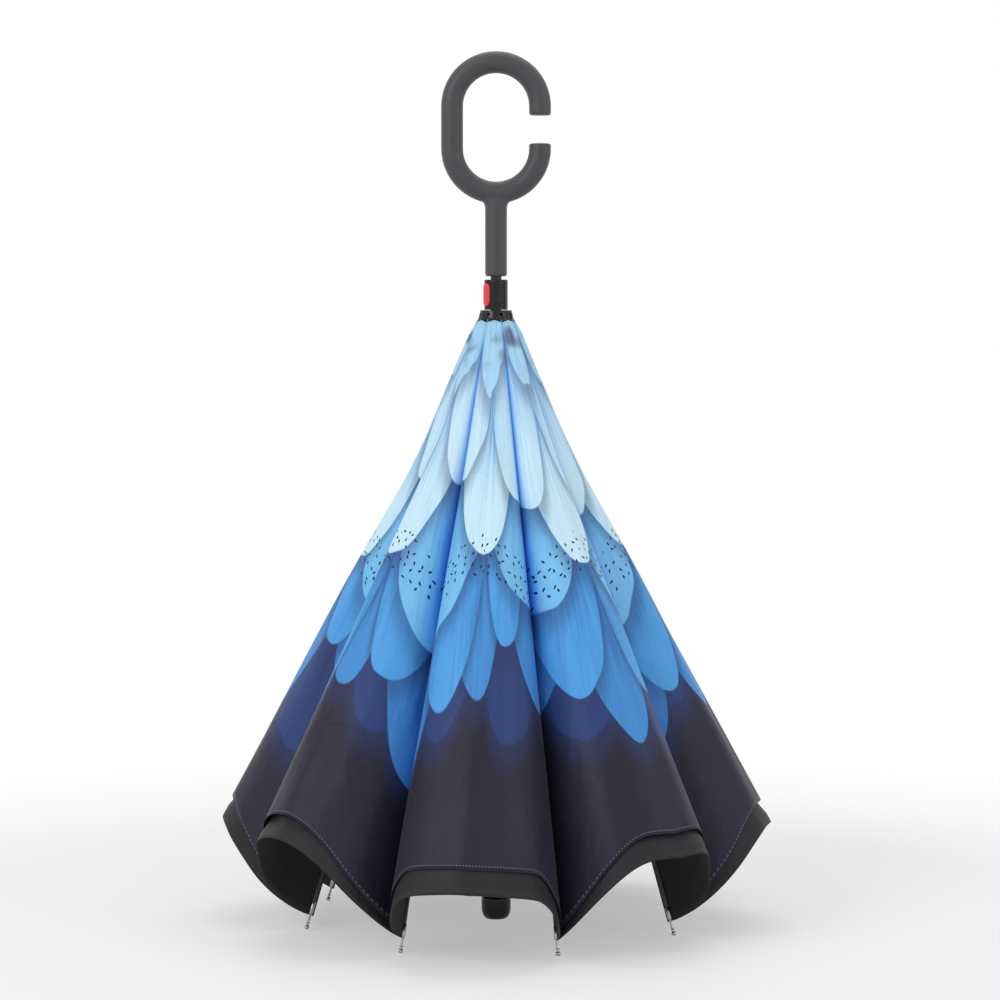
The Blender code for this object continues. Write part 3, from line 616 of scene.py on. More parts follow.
def settle(obj):
    """Turns an object's modifiers into plain mesh."""
    depsgraph = bpy.context.evaluated_depsgraph_get()
    mesh = bpy.data.meshes.new_from_object(obj.evaluated_get(depsgraph))
    material = obj.data.materials[0] if obj.data.materials else None
    obj.modifiers.clear()
    obj.data = mesh
    if material and not mesh.materials:
        mesh.materials.append(material)
    mesh.shade_smooth()


def dressed(node, material):
    """Gives a CAD node a finished material."""
    obj = frame["nodes"][node]
    if not obj.material_slots:
        obj.data.materials.append(MATERIALS[material])
    for slot in obj.material_slots:
        slot.material = MATERIALS[material]
    obj.data.shade_smooth()
    sharpen(obj, 35)


def replace(obj, body, slot, *nodes):
    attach(obj, body)
    if nodes:
        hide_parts(*nodes)


# Camera, floor and light

WORLD_LIGHT = 0.50
FLOOR_SIZE = 14.0
FLOOR_COLOUR = (0.86, 0.86, 0.87)
FLOOR_FADE = (0.10, 1.10)
FLOOR_GLOW = 0.42
LAMP_TARGET = (0, 0, 0.35)
# Name, place, size and power of each soft lamp
LAMPS = (
    ("key", (-1.9, -2.0, 1.9), (1.6, 1.6), 36),
    ("fill", (2.2, -1.4, 1.2), (1.4, 1.8), 13),
    ("top", (0.2, 0.5, 2.6), (2.0, 2.0), 17),
)


def aim(obj, target):
    obj.rotation_mode = "QUATERNION"
    obj.rotation_quaternion = (target - obj.location).to_track_quat("-Z", "Y")


def make_camera():
    data = bpy.data.cameras.new("camera")
    camera = linked("camera", data)
    camera.location = (AIM_X, -CAMERA_DISTANCE, CAMERA_HEIGHT)
    target = Vector((AIM_X, 0, AIM_Z))
    aim(camera, target)
    data.sensor_width = CAMERA_SENSOR
    data.lens = CAMERA_SENSOR * (target - camera.location).length / FRAME_HEIGHT_AT_AXIS
    data.clip_end = 50
    bpy.context.scene.camera = camera


def make_lamp(name, place, size, power):
    data = bpy.data.lights.new(name, "AREA")
    data.shape = "RECTANGLE"
    data.size, data.size_y = size
    data.energy = power
    lamp = linked(name, data)
    lamp.location = place
    aim(lamp, Vector(LAMP_TARGET))


def seen_ray(tree):
    """1 for rays from the camera, from gloss and through glass."""
    path = tree.nodes.new("ShaderNodeLightPath")
    total = path.outputs["Is Camera Ray"]
    for name in ("Is Glossy Ray", "Is Transmission Ray"):
        both = tree.nodes.new("ShaderNodeMath")
        both.operation = "MAXIMUM"
        tree.links.new(total, both.inputs[0])
        tree.links.new(path.outputs[name], both.inputs[1])
        total = both.outputs[0]
    return total


def make_world():
    """White where it is seen, and dimmer as a light."""
    world = bpy.data.worlds.new("studio")
    bpy.context.scene.world = world
    world.use_nodes = True
    tree = world.node_tree
    background = tree.nodes["Background"]
    background.inputs["Color"].default_value = (1, 1, 1, 1)
    strength = tree.nodes.new("ShaderNodeMapRange")
    strength.inputs["To Min"].default_value = WORLD_LIGHT
    strength.inputs["To Max"].default_value = 1.0
    tree.links.new(seen_ray(tree), strength.inputs["Value"])
    tree.links.new(strength.outputs[0], background.inputs["Strength"])


def make_floor():
    """A pale floor that keeps the shadow and turns to plain white away from it."""
    bm = bmesh.new()
    bmesh.ops.create_grid(bm, x_segments=1, y_segments=1, size=FLOOR_SIZE / 2)
    floor = linked("floor", mesh_of(bm, "floor"))
    s = Shade("studio_floor")
    floor.data.materials.append(s.material)
    s.set(Base_Color=FLOOR_COLOUR, Roughness=0.6, Specular_IOR_Level=0.2)
    away = s.length(s.node("NewGeometry").outputs["Position"])
    far = s.math("MAXIMUM", s.step(away, *FLOOR_FADE), FLOOR_GLOW)
    glow = s.fed("Emission", (1, 1, 1, 1))
    both = s.fed("MixShader", s.times(far, seen_ray(s.tree)), s.shader.outputs[0], glow)
    s.put(s.tree.nodes["Material Output"].inputs["Surface"], both)


def make_studio():
    bpy.context.scene.view_settings.view_transform = "Standard"
    make_camera()
    make_world()
    make_floor()
    for lamp in LAMPS:
        make_lamp(*lamp)


# The grip

HANDLE_TUBE_RADIUS = 0.0100
HANDLE_BEND_RADIUS = 0.0400
HANDLE_LOWER_CENTRE = 0.7070
HANDLE_UPPER_CENTRE = 0.7450
HANDLE_UPPER_ARM_END = 0.7370
HANDLE_LOWER_ARM_END = 0.7115
HANDLE_STEM_BOTTOM = 0.5910
HANDLE_SIDES = 48
HANDLE_BEND_STEPS = 40
HANDLE_END_ROUND = 0.0018
HANDLE_END_STEPS = 5
STEM_END_STEPS = 7
FILLET = 0.0060
FILLET_STEPS = 12
FILLET_SPREAD = 1.4
FILLET_THINNING = 0.12
HANDLE_VOXEL = 0.0008
HANDLE_SMOOTHINGS = 6


def handle_line():
    """The grip's centreline, from its upper arm round to its lower one."""
    bend = HANDLE_BEND_RADIUS
    steps = HANDLE_BEND_STEPS
    upper = [math.pi * i / steps for i in range(steps + 1)]
    lower = [math.pi * (1 + i / steps) for i in range(steps + 1)]
    points = [Vector((bend, 0, HANDLE_UPPER_ARM_END))]
    for turns, centre in ((upper, HANDLE_UPPER_CENTRE), (lower, HANDLE_LOWER_CENTRE)):
        points += [Vector((bend * math.cos(turn), 0, centre + bend * math.sin(turn))) for turn in turns]
    return points + [Vector((bend, 0, HANDLE_LOWER_ARM_END))]


def stem_rings():
    """The stem, with a rounded foot, spreading at its top to meet the bend."""
    edge = HANDLE_END_ROUND
    rows = [(HANDLE_STEM_BOTTOM + edge * back, HANDLE_TUBE_RADIUS - edge * under, 0.0)
            for back, under in quarter_round(STEM_END_STEPS)]
    fillet_bottom = HANDLE_LOWER_CENTRE - HANDLE_BEND_RADIUS - HANDLE_TUBE_RADIUS - FILLET
    for i in range(FILLET_STEPS + 1):
        share = i / FILLET_STEPS
        spread = FILLET_SPREAD * FILLET * share ** 3
        rows.append((fillet_bottom + share * 2 * FILLET, HANDLE_TUBE_RADIUS, spread))
    rings = []
    for height, radius, spread in rows:
        wide, deep = radius + spread, radius - spread * FILLET_THINNING
        rings.append([Vector((wide * math.cos(a), deep * math.sin(a), height))
                      for a in full_turn(HANDLE_SIDES)])
    return rings


def make_handle():
    edge = HANDLE_END_ROUND
    line = handle_line()
    ends = []
    for tip, nearby in ((line[0], line[1]), (line[-1], line[-2])):
        inward = (nearby - tip).normalized()
        ends.append([(tip + inward * edge * back, HANDLE_TUBE_RADIUS - edge * under)
                     for back, under in quarter_round(HANDLE_END_STEPS)])
    rows = ends[0] + [(p, HANDLE_TUBE_RADIUS) for p in line[1:-1]] + ends[1][::-1]
    bm = bmesh.new()
    bm.from_mesh(rings_mesh("loop", tube_rings([p for p, _ in rows], [r for _, r in rows], HANDLE_SIDES)))
    bm.from_mesh(rings_mesh("stem", stem_rings()))
    grip = add_object("grip", mesh_of(bm, "grip"), "grip")
    remesh = grip.modifiers.new("whole", "REMESH")
    remesh.mode = "VOXEL"
    remesh.voxel_size = HANDLE_VOXEL
    remesh.use_smooth_shade = True
    smooth = grip.modifiers.new("smooth", "SMOOTH")
    smooth.factor = 0.5
    smooth.iterations = HANDLE_SMOOTHINGS
    settle(grip)
    replace(grip, "shaft", "grip_rubber", "handle")


# The runner's sleeve and button

SLEEVE_RADIUS = 0.0107
SLEEVE_BORE = 0.0055
SLEEVE_EDGE = 0.0010
SLEEVE_SIDES = 216
SLEEVE_ROWS = 110
BUTTON_TURN = math.radians(-147)
BUTTON_HALF_WIDTH = 0.00425
BUTTON_HALF_HEIGHT = 0.01075
BUTTON_FACE = 0.0115
BUTTON_BACK = 0.0081
BUTTON_END_STEPS = 16
# The button's rounded face: how far in from its outline, and how far beyond BUTTON_FACE
BUTTON_ROWS = ((0.0, -0.0009), (0.0001, -0.0005), (0.0003, -0.0002), (0.0007, -0.00004), (0.0012, 0.0),
               (0.0024, 0.0001), (0.0036, 0.00015))
WINDOW_MARGIN = 0.0006
WINDOW_DEPTH = 0.0012
WINDOW_WALL = 0.0003
GROOVE_TURN = math.radians(-57)
GROOVE_COUNT = 9
GROOVE_WIDTH = 0.0016
GROOVE_DEPTH = 0.0006
GROOVE_HALF_SPAN = 0.0032
GROOVE_END = 0.0004
GROOVE_FULLNESS = 0.7


def ramp(value, low, high):
    """Rises smoothly from 0 at low to 1 at high."""
    t = min(max((value - low) / (high - low), 0.0), 1.0)
    return t * t * (3 - 2 * t)


def angle_between(a, b):
    return math.remainder(a - b, 2 * math.pi)


def sleeve_radius(turn, z, bottom, top):
    """The sleeve's surface, with its eased top edge, its grooves and the sunk window for the button."""
    below_top = max(SLEEVE_EDGE - (top - z), 0.0)
    radius = SLEEVE_RADIUS - SLEEVE_EDGE + math.sqrt(max(SLEEVE_EDGE ** 2 - below_top ** 2, 0.0))
    pitch = (top - bottom) / (GROOVE_COUNT + 1)
    number = min(max(round((z - bottom) / pitch), 1), GROOVE_COUNT)
    apart = abs(z - bottom - number * pitch)
    for side in (0, math.pi):
        beside = abs(angle_between(turn, GROOVE_TURN + side)) * SLEEVE_RADIUS
        cut = 1 - ramp(beside, GROOVE_HALF_SPAN - GROOVE_END, GROOVE_HALF_SPAN)
        if apart < GROOVE_WIDTH / 2:
            radius -= GROOVE_DEPTH * cut * math.cos(math.pi * apart / GROOVE_WIDTH) ** GROOVE_FULLNESS
    beside = angle_between(turn, BUTTON_TURN) * SLEEVE_RADIUS
    straight = max(abs(z - (bottom + top) / 2) - (BUTTON_HALF_HEIGHT - BUTTON_HALF_WIDTH), 0.0)
    outside = math.hypot(beside, straight) - BUTTON_HALF_WIDTH - WINDOW_MARGIN
    return radius - WINDOW_DEPTH * ramp(-outside, 0.0, WINDOW_WALL)


def make_sleeve():
    low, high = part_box("runner_sleeve")
    bottom, top = low[2], high[2]
    rings = []
    for i in range(SLEEVE_ROWS + 1):
        z = bottom + (top - bottom) * i / SLEEVE_ROWS
        rings.append([at(sleeve_radius(turn, z, bottom, top), turn, z) for turn in full_turn(SLEEVE_SIDES)])
    rings += [circle(SLEEVE_BORE, z, SLEEVE_SIDES) for z in (top, bottom)]
    sleeve = add_object("sleeve", rings_mesh("sleeve", rings, closed=True), "black_plastic", 50)
    replace(sleeve, "runner", "black_plastic", "runner_sleeve")
    make_button((bottom + top) / 2)


def make_button(middle):
    """A slot-shaped button with a rounded face, turned to its place on the sleeve."""
    to_end = BUTTON_HALF_HEIGHT - BUTTON_HALF_WIDTH
    rings = []
    rows = [(0.0, BUTTON_BACK)] + [(inset, BUTTON_FACE + beyond) for inset, beyond in BUTTON_ROWS]
    for inset, face in rows:
        radius = BUTTON_HALF_WIDTH - inset
        ring = []
        for centre, start in ((to_end, 0.0), (-to_end, math.pi)):
            for k in range(BUTTON_END_STEPS + 1):
                a = start + math.pi * k / BUTTON_END_STEPS
                ring.append(Vector((face, radius * math.cos(a), middle + centre + radius * math.sin(a))))
        rings.append(ring)
    mesh = rings_mesh("button", rings)
    mesh.transform(Matrix.Rotation(BUTTON_TURN, 4, "Z"))
    replace(add_object("button", mesh, "red_plastic"), "button", "red_plastic", "release_button")


# The runner's crown

CROWN_SIDES = 96
CROWN_RADIUS = 0.0165
CROWN_TOP_RADIUS = 0.0145
CROWN_RIM_HEIGHT = 0.0035
CROWN_EDGE = 0.0006
SLOT_WIDTH = 0.0026
SLOT_ROOT = 0.0096
SLOT_REACH = 2 * CROWN_RADIUS
SLOT_ROOF = 0.0027


def cut_slots(body, low, high):
    """Cuts a slot for each rib into a turned body, then eases its edges."""
    bm = bmesh.new()
    size = Matrix.Diagonal((SLOT_REACH - SLOT_ROOT, SLOT_WIDTH, high - low, 1.0))
    place = Matrix.Translation(((SLOT_REACH + SLOT_ROOT) / 2, 0, (low + high) / 2))
    for azimuth in RIB_AZIMUTHS:
        made = bmesh.ops.create_cube(bm, size=1.0)["verts"]
        bmesh.ops.transform(bm, verts=made, matrix=Matrix.Rotation(azimuth, 4, "Z") @ place @ size)
    cutter = linked("slots", mesh_of(bm, "slots"))
    cut = body.modifiers.new("slots", "BOOLEAN")
    cut.operation = "DIFFERENCE"
    cut.solver = "EXACT"
    cut.object = cutter
    edges = body.modifiers.new("edges", "BEVEL")
    edges.width = CROWN_EDGE / 3
    edges.segments = 2
    edges.limit_method = "ANGLE"
    edges.angle_limit = math.radians(30)
    settle(body)
    bpy.data.objects.remove(cutter, do_unlink=True)
    sharpen(body, 40)


def make_crown():
    low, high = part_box("runner_crown")
    bottom, top = low[2], high[2]
    edge = CROWN_EDGE
    shoulder = bottom + CROWN_RIM_HEIGHT
    profile = (
        (SLEEVE_BORE, bottom), (CROWN_RADIUS - edge, bottom), (CROWN_RADIUS, bottom + edge),
        (CROWN_RADIUS, shoulder - edge), (CROWN_RADIUS - edge, shoulder),
        (CROWN_TOP_RADIUS, top - edge), (CROWN_TOP_RADIUS - edge, top), (SLEEVE_BORE, top),
    )
    rings = [circle(radius, z, CROWN_SIDES) for radius, z in profile]
    crown = add_object("crown", rings_mesh("crown", rings, closed=True), "black_plastic")
    cut_slots(crown, bottom - CROWN_RADIUS, top - SLOT_ROOF)
    replace(crown, "runner", "black_plastic", "runner_crown")


# The ferrule

FERRULE_SIDES = 80
FERRULE_RADIUS = 0.0135
FERRULE_FACE = 0.0080
FERRULE_ROUND = 0.0100
FERRULE_ROUND_STEPS = 12
FERRULE_EDGE = 0.0025
FERRULE_EDGE_STEPS = 8
FERRULE_BORE = 0.0053


def make_ferrule():
    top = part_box("ferrule")[1][2]
    profile = [(FERRULE_RADIUS - (FERRULE_RADIUS - FERRULE_FACE) * under, FERRULE_ROUND * back)
               for back, under in quarter_round(FERRULE_ROUND_STEPS)]
    profile += [(FERRULE_RADIUS - FERRULE_EDGE * back, top - FERRULE_EDGE * under)
                for back, under in quarter_round(FERRULE_EDGE_STEPS)]
    profile += [(FERRULE_BORE, top), (FERRULE_BORE, FERRULE_ROUND)]
    rings = [circle(radius, z, FERRULE_SIDES) for radius, z in profile]
    cap = add_object("end_cap", rings_mesh("end_cap", rings), "black_plastic", 32)
    replace(cap, "shaft", "black_plastic", "ferrule")


# The rib tips

TIP_SIDES = 24
TIP_BORE = 0.0014
TIP_BORE_DEPTH = 0.0063
# Radius and distance from the socket's mouth, then radius and distance back from the ball's centre
TIP_SOCKET = ((TIP_BORE, TIP_BORE_DEPTH), (TIP_BORE, 0.0), (0.0019, 0.0), (0.0021, 0.0002), (0.0021, 0.0102),
              (0.0020, 0.0108), (0.0014, 0.0116), (0.0012, 0.0130))
TIP_COLLAR = ((0.0011, 0.0046), (0.0016, 0.0042), (0.0017, 0.0038), (0.0016, 0.0034), (0.0011, 0.0030))
BALL_STEPS = 8
BALL_FIRST_ANGLE = math.radians(150)
BALL_LAST_ANGLE = math.radians(6)


def make_tips():
    """Plated sockets on the ribs' ends, each with a neck, a collar and a ball."""
    mouth = RIB_LENGTH - TIP_LENGTH
    rows = [(radius, mouth + along) for radius, along in TIP_SOCKET]
    rows += [(radius, RIB_LENGTH - back) for radius, back in TIP_COLLAR]
    for i in range(BALL_STEPS + 1):
        a = BALL_FIRST_ANGLE * (1 - i / BALL_STEPS) + BALL_LAST_ANGLE * i / BALL_STEPS
        rows.append((BALL_RADIUS * math.sin(a), RIB_LENGTH + BALL_RADIUS * math.cos(a)))
    hinge = Vector((HINGE_RADIUS, 0, HINGE_Z))
    down = Vector((math.sin(RIB_ANGLE), 0, -math.cos(RIB_ANGLE)))
    across = Vector((math.cos(RIB_ANGLE), 0, math.sin(RIB_ANGLE)))
    side = Vector((0, 1, 0))
    rings = [[hinge + down * along + (across * math.cos(a) + side * math.sin(a)) * radius
              for a in full_turn(TIP_SIDES)] for radius, along in rows]
    for n, azimuth in enumerate(RIB_AZIMUTHS, 1):
        mesh = rings_mesh(f"tip_{n}", rings)
        mesh.transform(Matrix.Rotation(azimuth, 4, "Z"))
        replace(add_object(f"tip_{n}", mesh, "steel", 50), f"rib_set_{n}", "steel", f"rib_tip_{n}")


# The folded canopies

def gap_number(turn):
    """Which gap between ribs a place lies in, from 0 round to the last."""
    return np.mod(np.floor(turn), RIB_COUNT).astype(int)


def fold_profile(turn):
    """How far out the cloth lies, from 0 in a rib's crease to 1 on a crest. Turns are counted in sectors."""
    lean = 1 + GAP_LEAN * np.sin(GAP_LEAN_STEP * gap_number(turn) + GAP_LEAN_START)
    return np.clip(np.sin(np.pi * (turn - np.floor(turn)) ** lean), 0.0, 1.0) ** FOLD_SHARPNESS


def fall_share(z):
    """0 at the crown and 1 at the height of the inner hem's crests."""
    return (TOP_Z - z) / (TOP_Z - HEM_CREST_Z)


def crest_radius(turn, z):
    share = fall_share(z)
    within = np.clip(share, 0.0, 1.0)
    radius = TOP_RADIUS + (HEM_CREST_RADIUS - TOP_RADIUS) * share - CREST_DIP * np.sin(np.pi * within)
    radius = radius - WAIST_DIP * np.exp(-((share - WAIST_SHARE) / WAIST_SPREAD_SHARE) ** 2)
    return radius * (1 + np.array(GAP_SWELLS)[gap_number(turn)] * within)


def waves(turn, fall, kinds):
    """A sum of waves round the canopy."""
    return sum(height * np.sin(count * turn * SECTOR + drift * fall + phase)
               for count, drift, phase, height in kinds)


# How many to the turn, their drift on the way down, phase and height
LONG_FOLDS = ((5, 1.1, 0.3, 0.0022), (9, -1.6, 2.1, 0.0020), (14, 1.9, 4.4, 0.0014), (19, -2.6, 1.2, 0.0012))
SHORT_FOLDS = ((27, 5.0, 0.9, 0.0008), (34, -7.0, 3.1, 0.0006), (43, 8.5, 5.2, 0.0005))
PINCHES = ((13, 2.0, 1.0, 0.0010), (22, -3.0, 2.5, 0.0009), (31, 5.0, 0.2, 0.0007))


def ripple(turn, z):
    """Soft long folds, and short pinched ones under the crown."""
    fall = np.maximum(fall_share(z), 0.0)
    depth = np.minimum(fall, 1.0) ** LONG_FOLDS_POWER
    near_top = np.exp(-fall / PINCH_FADE) * np.minimum(fall / PINCH_START, 1.0)
    return (waves(turn, fall, LONG_FOLDS) + waves(turn, fall, SHORT_FOLDS)) * depth \
        + waves(turn, fall, PINCHES) * near_top


def inner_radius(turn, z):
    rib = HINGE_RADIUS + (HINGE_Z - z) * math.tan(RIB_ANGLE) + INNER_OVER_RIB / math.cos(RIB_ANGLE)
    return rib + (crest_radius(turn, z) + ripple(turn, z) - rib) * fold_profile(turn)


def layer_step(turn, z):
    """How far each tucked layer lies inside the one over it."""
    spread = np.clip(fall_share(z) / LAYER_SPREAD_SHARE, 0.0, 1.0)
    return LAYER + (LAYER_AT_CREST - LAYER) * fold_profile(turn) * spread


def outer_radius(turn, z):
    """Just inside the inner canopy, and under the ribs. Below the inner hem it comes out level with it."""
    at_rib = (INNER_OVER_RIB + OUTER_UNDER_RIB) / math.cos(RIB_ANGLE)
    tucked = np.clip((z - OUTER_LEVEL_Z) / OUTER_LEVEL_RISE, 0.0, 1.0)
    at_crest = (2 * layer_step(turn, z) + LAYER) * tucked + CREST_CLEARANCE
    return inner_radius(turn, z) - at_rib + (at_rib - at_crest) * fold_profile(turn)


def strut_radius(turn, z):
    """Over the struts, bulging part of the way towards the cloth under the ribs."""
    bar = HINGE_RADIUS + (z - NOTCH_HINGE_Z) * math.tan(STRUT_ANGLE)
    bar = bar + OUTER_OVER_STRUT / math.cos(STRUT_ANGLE)
    room = np.maximum(outer_radius(turn, z) - 2 * layer_step(turn, z) - CREST_CLEARANCE - bar, 0.0)
    bulge = np.minimum(STRUT_BULGE_SHARE * room, STRUT_BULGE_MOST)
    return np.maximum(bar + bulge * fold_profile(turn), NOTCH_CLOTH_RADIUS)


class Gore:
    """Cloth cut as one flat gore about a bar, and folded between the bars' rest places.

    A flat point has its distance along the bar and its distance beside it. The open canopy is flat
    over each bar, and gores meet midway between bars, so rows run straight across to their neighbours.
    """

    def __init__(self, radius_at, hinge_z, rest, opened, rises, start, end, hem_cut=None, joint_reach=0.0,
                 crest_lap=CREST_LAP):
        self.radius_at = radius_at
        self.hinge_z = hinge_z
        self.rest = rest
        self.opened = opened
        self.sign = 1 if rises else -1
        self.start = start
        self.end = end
        self.hem_cut = hem_cut
        self.joint_reach = joint_reach
        self.crest_lap = crest_lap
        self.slant = math.tan(SECTOR / 2) / math.sin(opened)

    def hem_rise(self, index, angle):
        """How far the hem is drawn up between ribs: steeply beside a rib, then level."""
        reach = np.minimum(np.abs(angle) / (SECTOR / 2), 1.0)
        gap = np.where(angle >= 0, index, index - 1) % RIB_COUNT
        beside = np.clip(reach / np.array(GAP_HEM_DIVES)[gap], 0.0, 1.0)
        cut = np.array(GAP_HEM_CUTS)[gap] + self.hem_cut
        return cut * np.sin(np.pi / 2 * beside) - HEM_FLATTENED * reach

    def joint_edge(self, y, share):
        """Clear of the rib and strut, the edge at their joint reaches on to meet the next sheet."""
        beside = np.clip((np.abs(y) - JOINT_CLEAR) / JOINT_CLEAR_EASE, 0.0, 1.0)
        near = share if self.sign > 0 else 1 - share
        return self.sign * self.joint_reach * beside * near ** JOINT_EDGE_POWER

    def half_width(self, along):
        """Half the flat width of the row that crosses the bar at this distance."""
        return (HINGE_RADIUS + along * math.sin(self.opened)) * math.sin(SECTOR / 2) * math.cos(SECTOR / 2)

    def points(self, index, angle, share, layer):
        """Rest places, as x, y and z arrays, of the rows at these shares, at angles from the bar's plane."""
        turn = index + angle / SECTOR
        along = self.start + (self.end - self.start) * share
        if self.hem_cut is not None:
            shorter = TUCK_SHORTER * (layer >= 1)
            along = along - (self.hem_rise(index, angle) + shorter) * share ** HEM_CUT_POWER

        def place(z):
            radius = self.radius_at(turn, z) - layer * layer_step(turn, z)
            return radius * np.cos(angle), radius * np.sin(angle)

        def miss(z):
            x, y = place(z)
            reached = (x - HINGE_RADIUS) * math.sin(self.rest) \
                + self.sign * (z - self.hinge_z) * math.cos(self.rest)
            return reached + np.abs(y) * self.slant - along - self.joint_edge(y, share)

        z0 = self.hinge_z + self.sign * along * math.cos(self.rest) + 0 * angle
        z1 = z0 - self.sign * SEARCH_FIRST_STEP
        m0, m1 = miss(z0), miss(z1)
        for _ in range(SEARCH_STEPS):
            change = np.where(np.abs(m1 - m0) < SEARCH_LEVEL, 1.0, m1 - m0)
            z2 = z1 - np.where(np.abs(m1) < SEARCH_FOUND, 0.0, m1 * (z1 - z0) / change)
            z0, m0 = z1, m1
            z1, m1 = z2, miss(z2)
        x, y = place(z1)
        return x, y, z1

    def main_angles(self, shares, columns):
        """The cloth over the bar, from crest to crest and a little past them."""
        across = np.linspace(-1, 1, columns + 1)
        across = np.sign(across) * np.abs(across) ** CREASE_CROWDING
        along = self.start + (self.end - self.start) * shares
        lap = np.minimum(self.crest_lap / (HINGE_RADIUS + along * math.sin(self.rest)), CREST_LAP_MOST)
        edge = SECTOR / 2 + lap
        angles = np.hstack([-edge, SECTOR / 2 * across + 0 * along, edge])
        past = AROUND_AT_CREST + AROUND_LAP
        around = np.hstack([[-past], AROUND_AT_CREST * across, [past]])
        return angles, around

    def tuck_angles(self, index, side, shares, layer, columns):
        """Two strips of tucked cloth: up to the neighbour's crease, and past it, without the doubled part."""
        fine = np.linspace(SECTOR / 2 - TUCK_LAP, TUCK_REACH_SECTORS * SECTOR, TUCK_SAMPLES)
        y = np.abs(self.points(index, side * fine[None, :], shares, layer)[1])
        before, past, last = [], [], []
        for row, share in zip(y, shares[:, 0]):
            want = self.half_width(self.start + (self.end - self.start) * share) - SEAM_GAP
            top = int(np.argmax(np.where(fine < SECTOR, row, -1)))
            enough = np.nonzero(row[:top + 1] >= want)[0]
            if len(enough):
                top = int(enough[0])
            after = np.nonzero((fine > SECTOR) & (row >= row[top] - TUCK_OVERLAP))[0]
            begin = int(after[0]) - 1 if len(after) else TUCK_SAMPLES - 2
            final = np.nonzero((fine > fine[begin]) & (row >= want))[0]
            finish = int(final[0]) if len(final) else begin + int(np.argmax(row[begin:]))
            before.append(fine[top])
            past.append(fine[begin])
            last.append(max(fine[finish], fine[begin] + TUCK_LEAST_ANGLE))
        part = np.linspace(0, 1, columns + 1)[None, :]
        before, past, last = (np.array(v)[:, None] for v in (before, past, last))
        first = SECTOR / 2 - TUCK_LAP
        to_tuck = AROUND_AT_CREST + (AROUND_AT_TUCK - AROUND_AT_CREST) * part
        to_seam = AROUND_AT_TUCK + (AROUND_AT_SEAM - AROUND_AT_TUCK) * part
        return (first + (before - first) * part, to_tuck), (past + (last - past) * part, to_seam)


def sheet_mesh(name, gore, index, rows, columns, tuck_columns):
    """A gore's three layers, with the cloth's own coordinates for its material."""
    bm = bmesh.new()
    cloth_map = bm.loops.layers.uv.new("cloth")
    edge_map = bm.loops.layers.uv.new("edge")
    values = {}

    def add_grid(angles, around, shares, layer):
        past_crest = np.abs(around) > AROUND_AT_CREST + AROUND_LAP / 2
        under = CREST_LAP_DEPTH / LAYER * past_crest if layer == 0 else 0
        x, y, z = gore.points(index, angles, shares, layer + under)
        along = gore.start + (gore.end - gore.start) * shares + 0 * x
        around = around + 0 * x
        from_crown = along - np.abs(y) * gore.slant * 0.5
        grid = []
        for r in range(x.shape[0]):
            line = []
            for c in range(x.shape[1]):
                vert = bm.verts.new((x[r, c], y[r, c], z[r, c]))
                to_hem = (gore.end - gore.start) * (1 - shares[r, 0])
                values[vert] = (index + around[r, c], from_crown[r, c], to_hem)
                line.append(vert)
            grid.append(line)
        for upper, lower in zip(grid, grid[1:]):
            for i in range(len(upper) - 1):
                bm.faces.new((upper[i], lower[i], lower[i + 1], upper[i + 1])).smooth = True

    shares = np.linspace(0, 1, rows + 1)[:, None]
    add_grid(*gore.main_angles(shares, columns), shares, 0)
    for side, layer in ((1, 1), (-1, 2)):
        shares = np.linspace(0, 1, rows // 2 + 1)[:, None]
        for angles, around in gore.tuck_angles(index, side, shares, layer, tuck_columns):
            add_grid(side * angles, side * around, shares, layer)
    for face in bm.faces:
        for loop in face.loops:
            u, s, to_hem = values[loop.vert]
            loop[cloth_map].uv = (u, s)
            loop[edge_map].uv = (u, to_hem)
    bmesh.ops.rotate(bm, verts=bm.verts, cent=(0, 0, 0), matrix=Matrix.Rotation(RIB_AZIMUTHS[index], 3, "Z"))
    return mesh_of(bm, name)


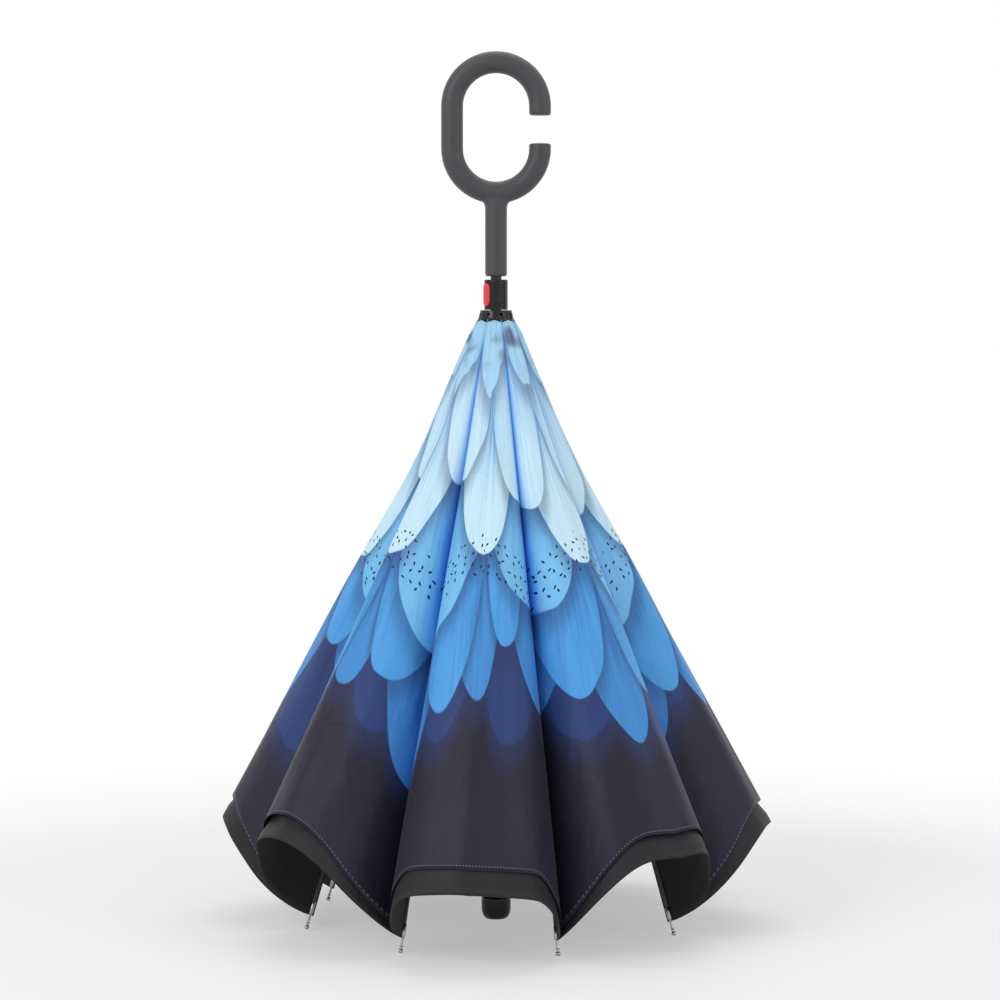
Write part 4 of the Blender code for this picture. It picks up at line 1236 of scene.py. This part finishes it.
def make_cloth(name, gore, index, grid, material, slot, body, node):
    obj = add_object(name, sheet_mesh(name, gore, index, *grid), material)
    thick = obj.modifiers.new("thickness", "SOLIDIFY")
    thick.thickness = CLOTH_THICKNESS
    thick.offset = 0
    replace(obj, body, slot, *([node] if node else []))
    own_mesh(obj)
    length = gore.end - gore.start
    area = length * (gore.half_width(gore.start) + gore.half_width(gore.end))
    2 * gore.half_width(gore.end)


def make_canopies():
    # Rows down a gore, columns over its bar, and columns of each tucked strip
    grid = ((84, 60, 8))
    inner = Gore(inner_radius, HINGE_Z, RIB_ANGLE, RIB_OPEN_ANGLE, False,
                 (HINGE_Z - TOP_Z + INNER_OVER_RIB * math.sin(RIB_ANGLE)) / math.cos(RIB_ANGLE),
                 RIB_LENGTH - INNER_HEM_FROM_TIP, INNER_HEM_CUT)
    outer = Gore(outer_radius, HINGE_Z, RIB_ANGLE, RIB_OPEN_ANGLE, False,
                 OUTER_START, RIB_LENGTH - OUTER_HEM_FROM_TIP, 0.0, JOINT_REACH)
    strut = Gore(strut_radius, NOTCH_HINGE_Z, STRUT_ANGLE, STRUT_OPEN_ANGLE, True,
                 STRUT_CLOTH_START, STRUT_CLOTH_END, None, JOINT_REACH, STRUT_CREST_LAP)
    for i in range(RIB_COUNT):
        n = i + 1
        make_cloth(f"inner_canopy_{n}", inner, i, grid, "printed_cloth", "printed_cloth",
                   f"rib_set_{n}", f"inner_panel_{n}")
        make_cloth(f"outer_canopy_{n}", outer, i, grid, "plain_cloth", "black_cloth",
                   f"rib_set_{n}", f"outer_panel_{n}")
        make_cloth(f"outer_canopy_middle_{n}", strut, i, grid, "plain_cloth", "black_cloth",
                   f"strut_set_{n}", None)


def make_rigid():
    make_handle()
    make_sleeve()
    make_crown()
    make_ferrule()
    make_tips()
    dressed("shaft_tube", "coated_steel")
    dressed("top_notch", "black_plastic")
    for name in ("notch_wire", "crown_wire", "latch_spring"):
        dressed(name, "steel")
    for n in range(1, RIB_COUNT + 1):
        dressed(f"rib_{n}", "glass_fibre")
        dressed(f"rib_clamp_{n}", "coated_steel")
        dressed(f"strut_{n}", "coated_steel")


def main():
    make_studio()
    make_rigid()
    make_canopies()


main()
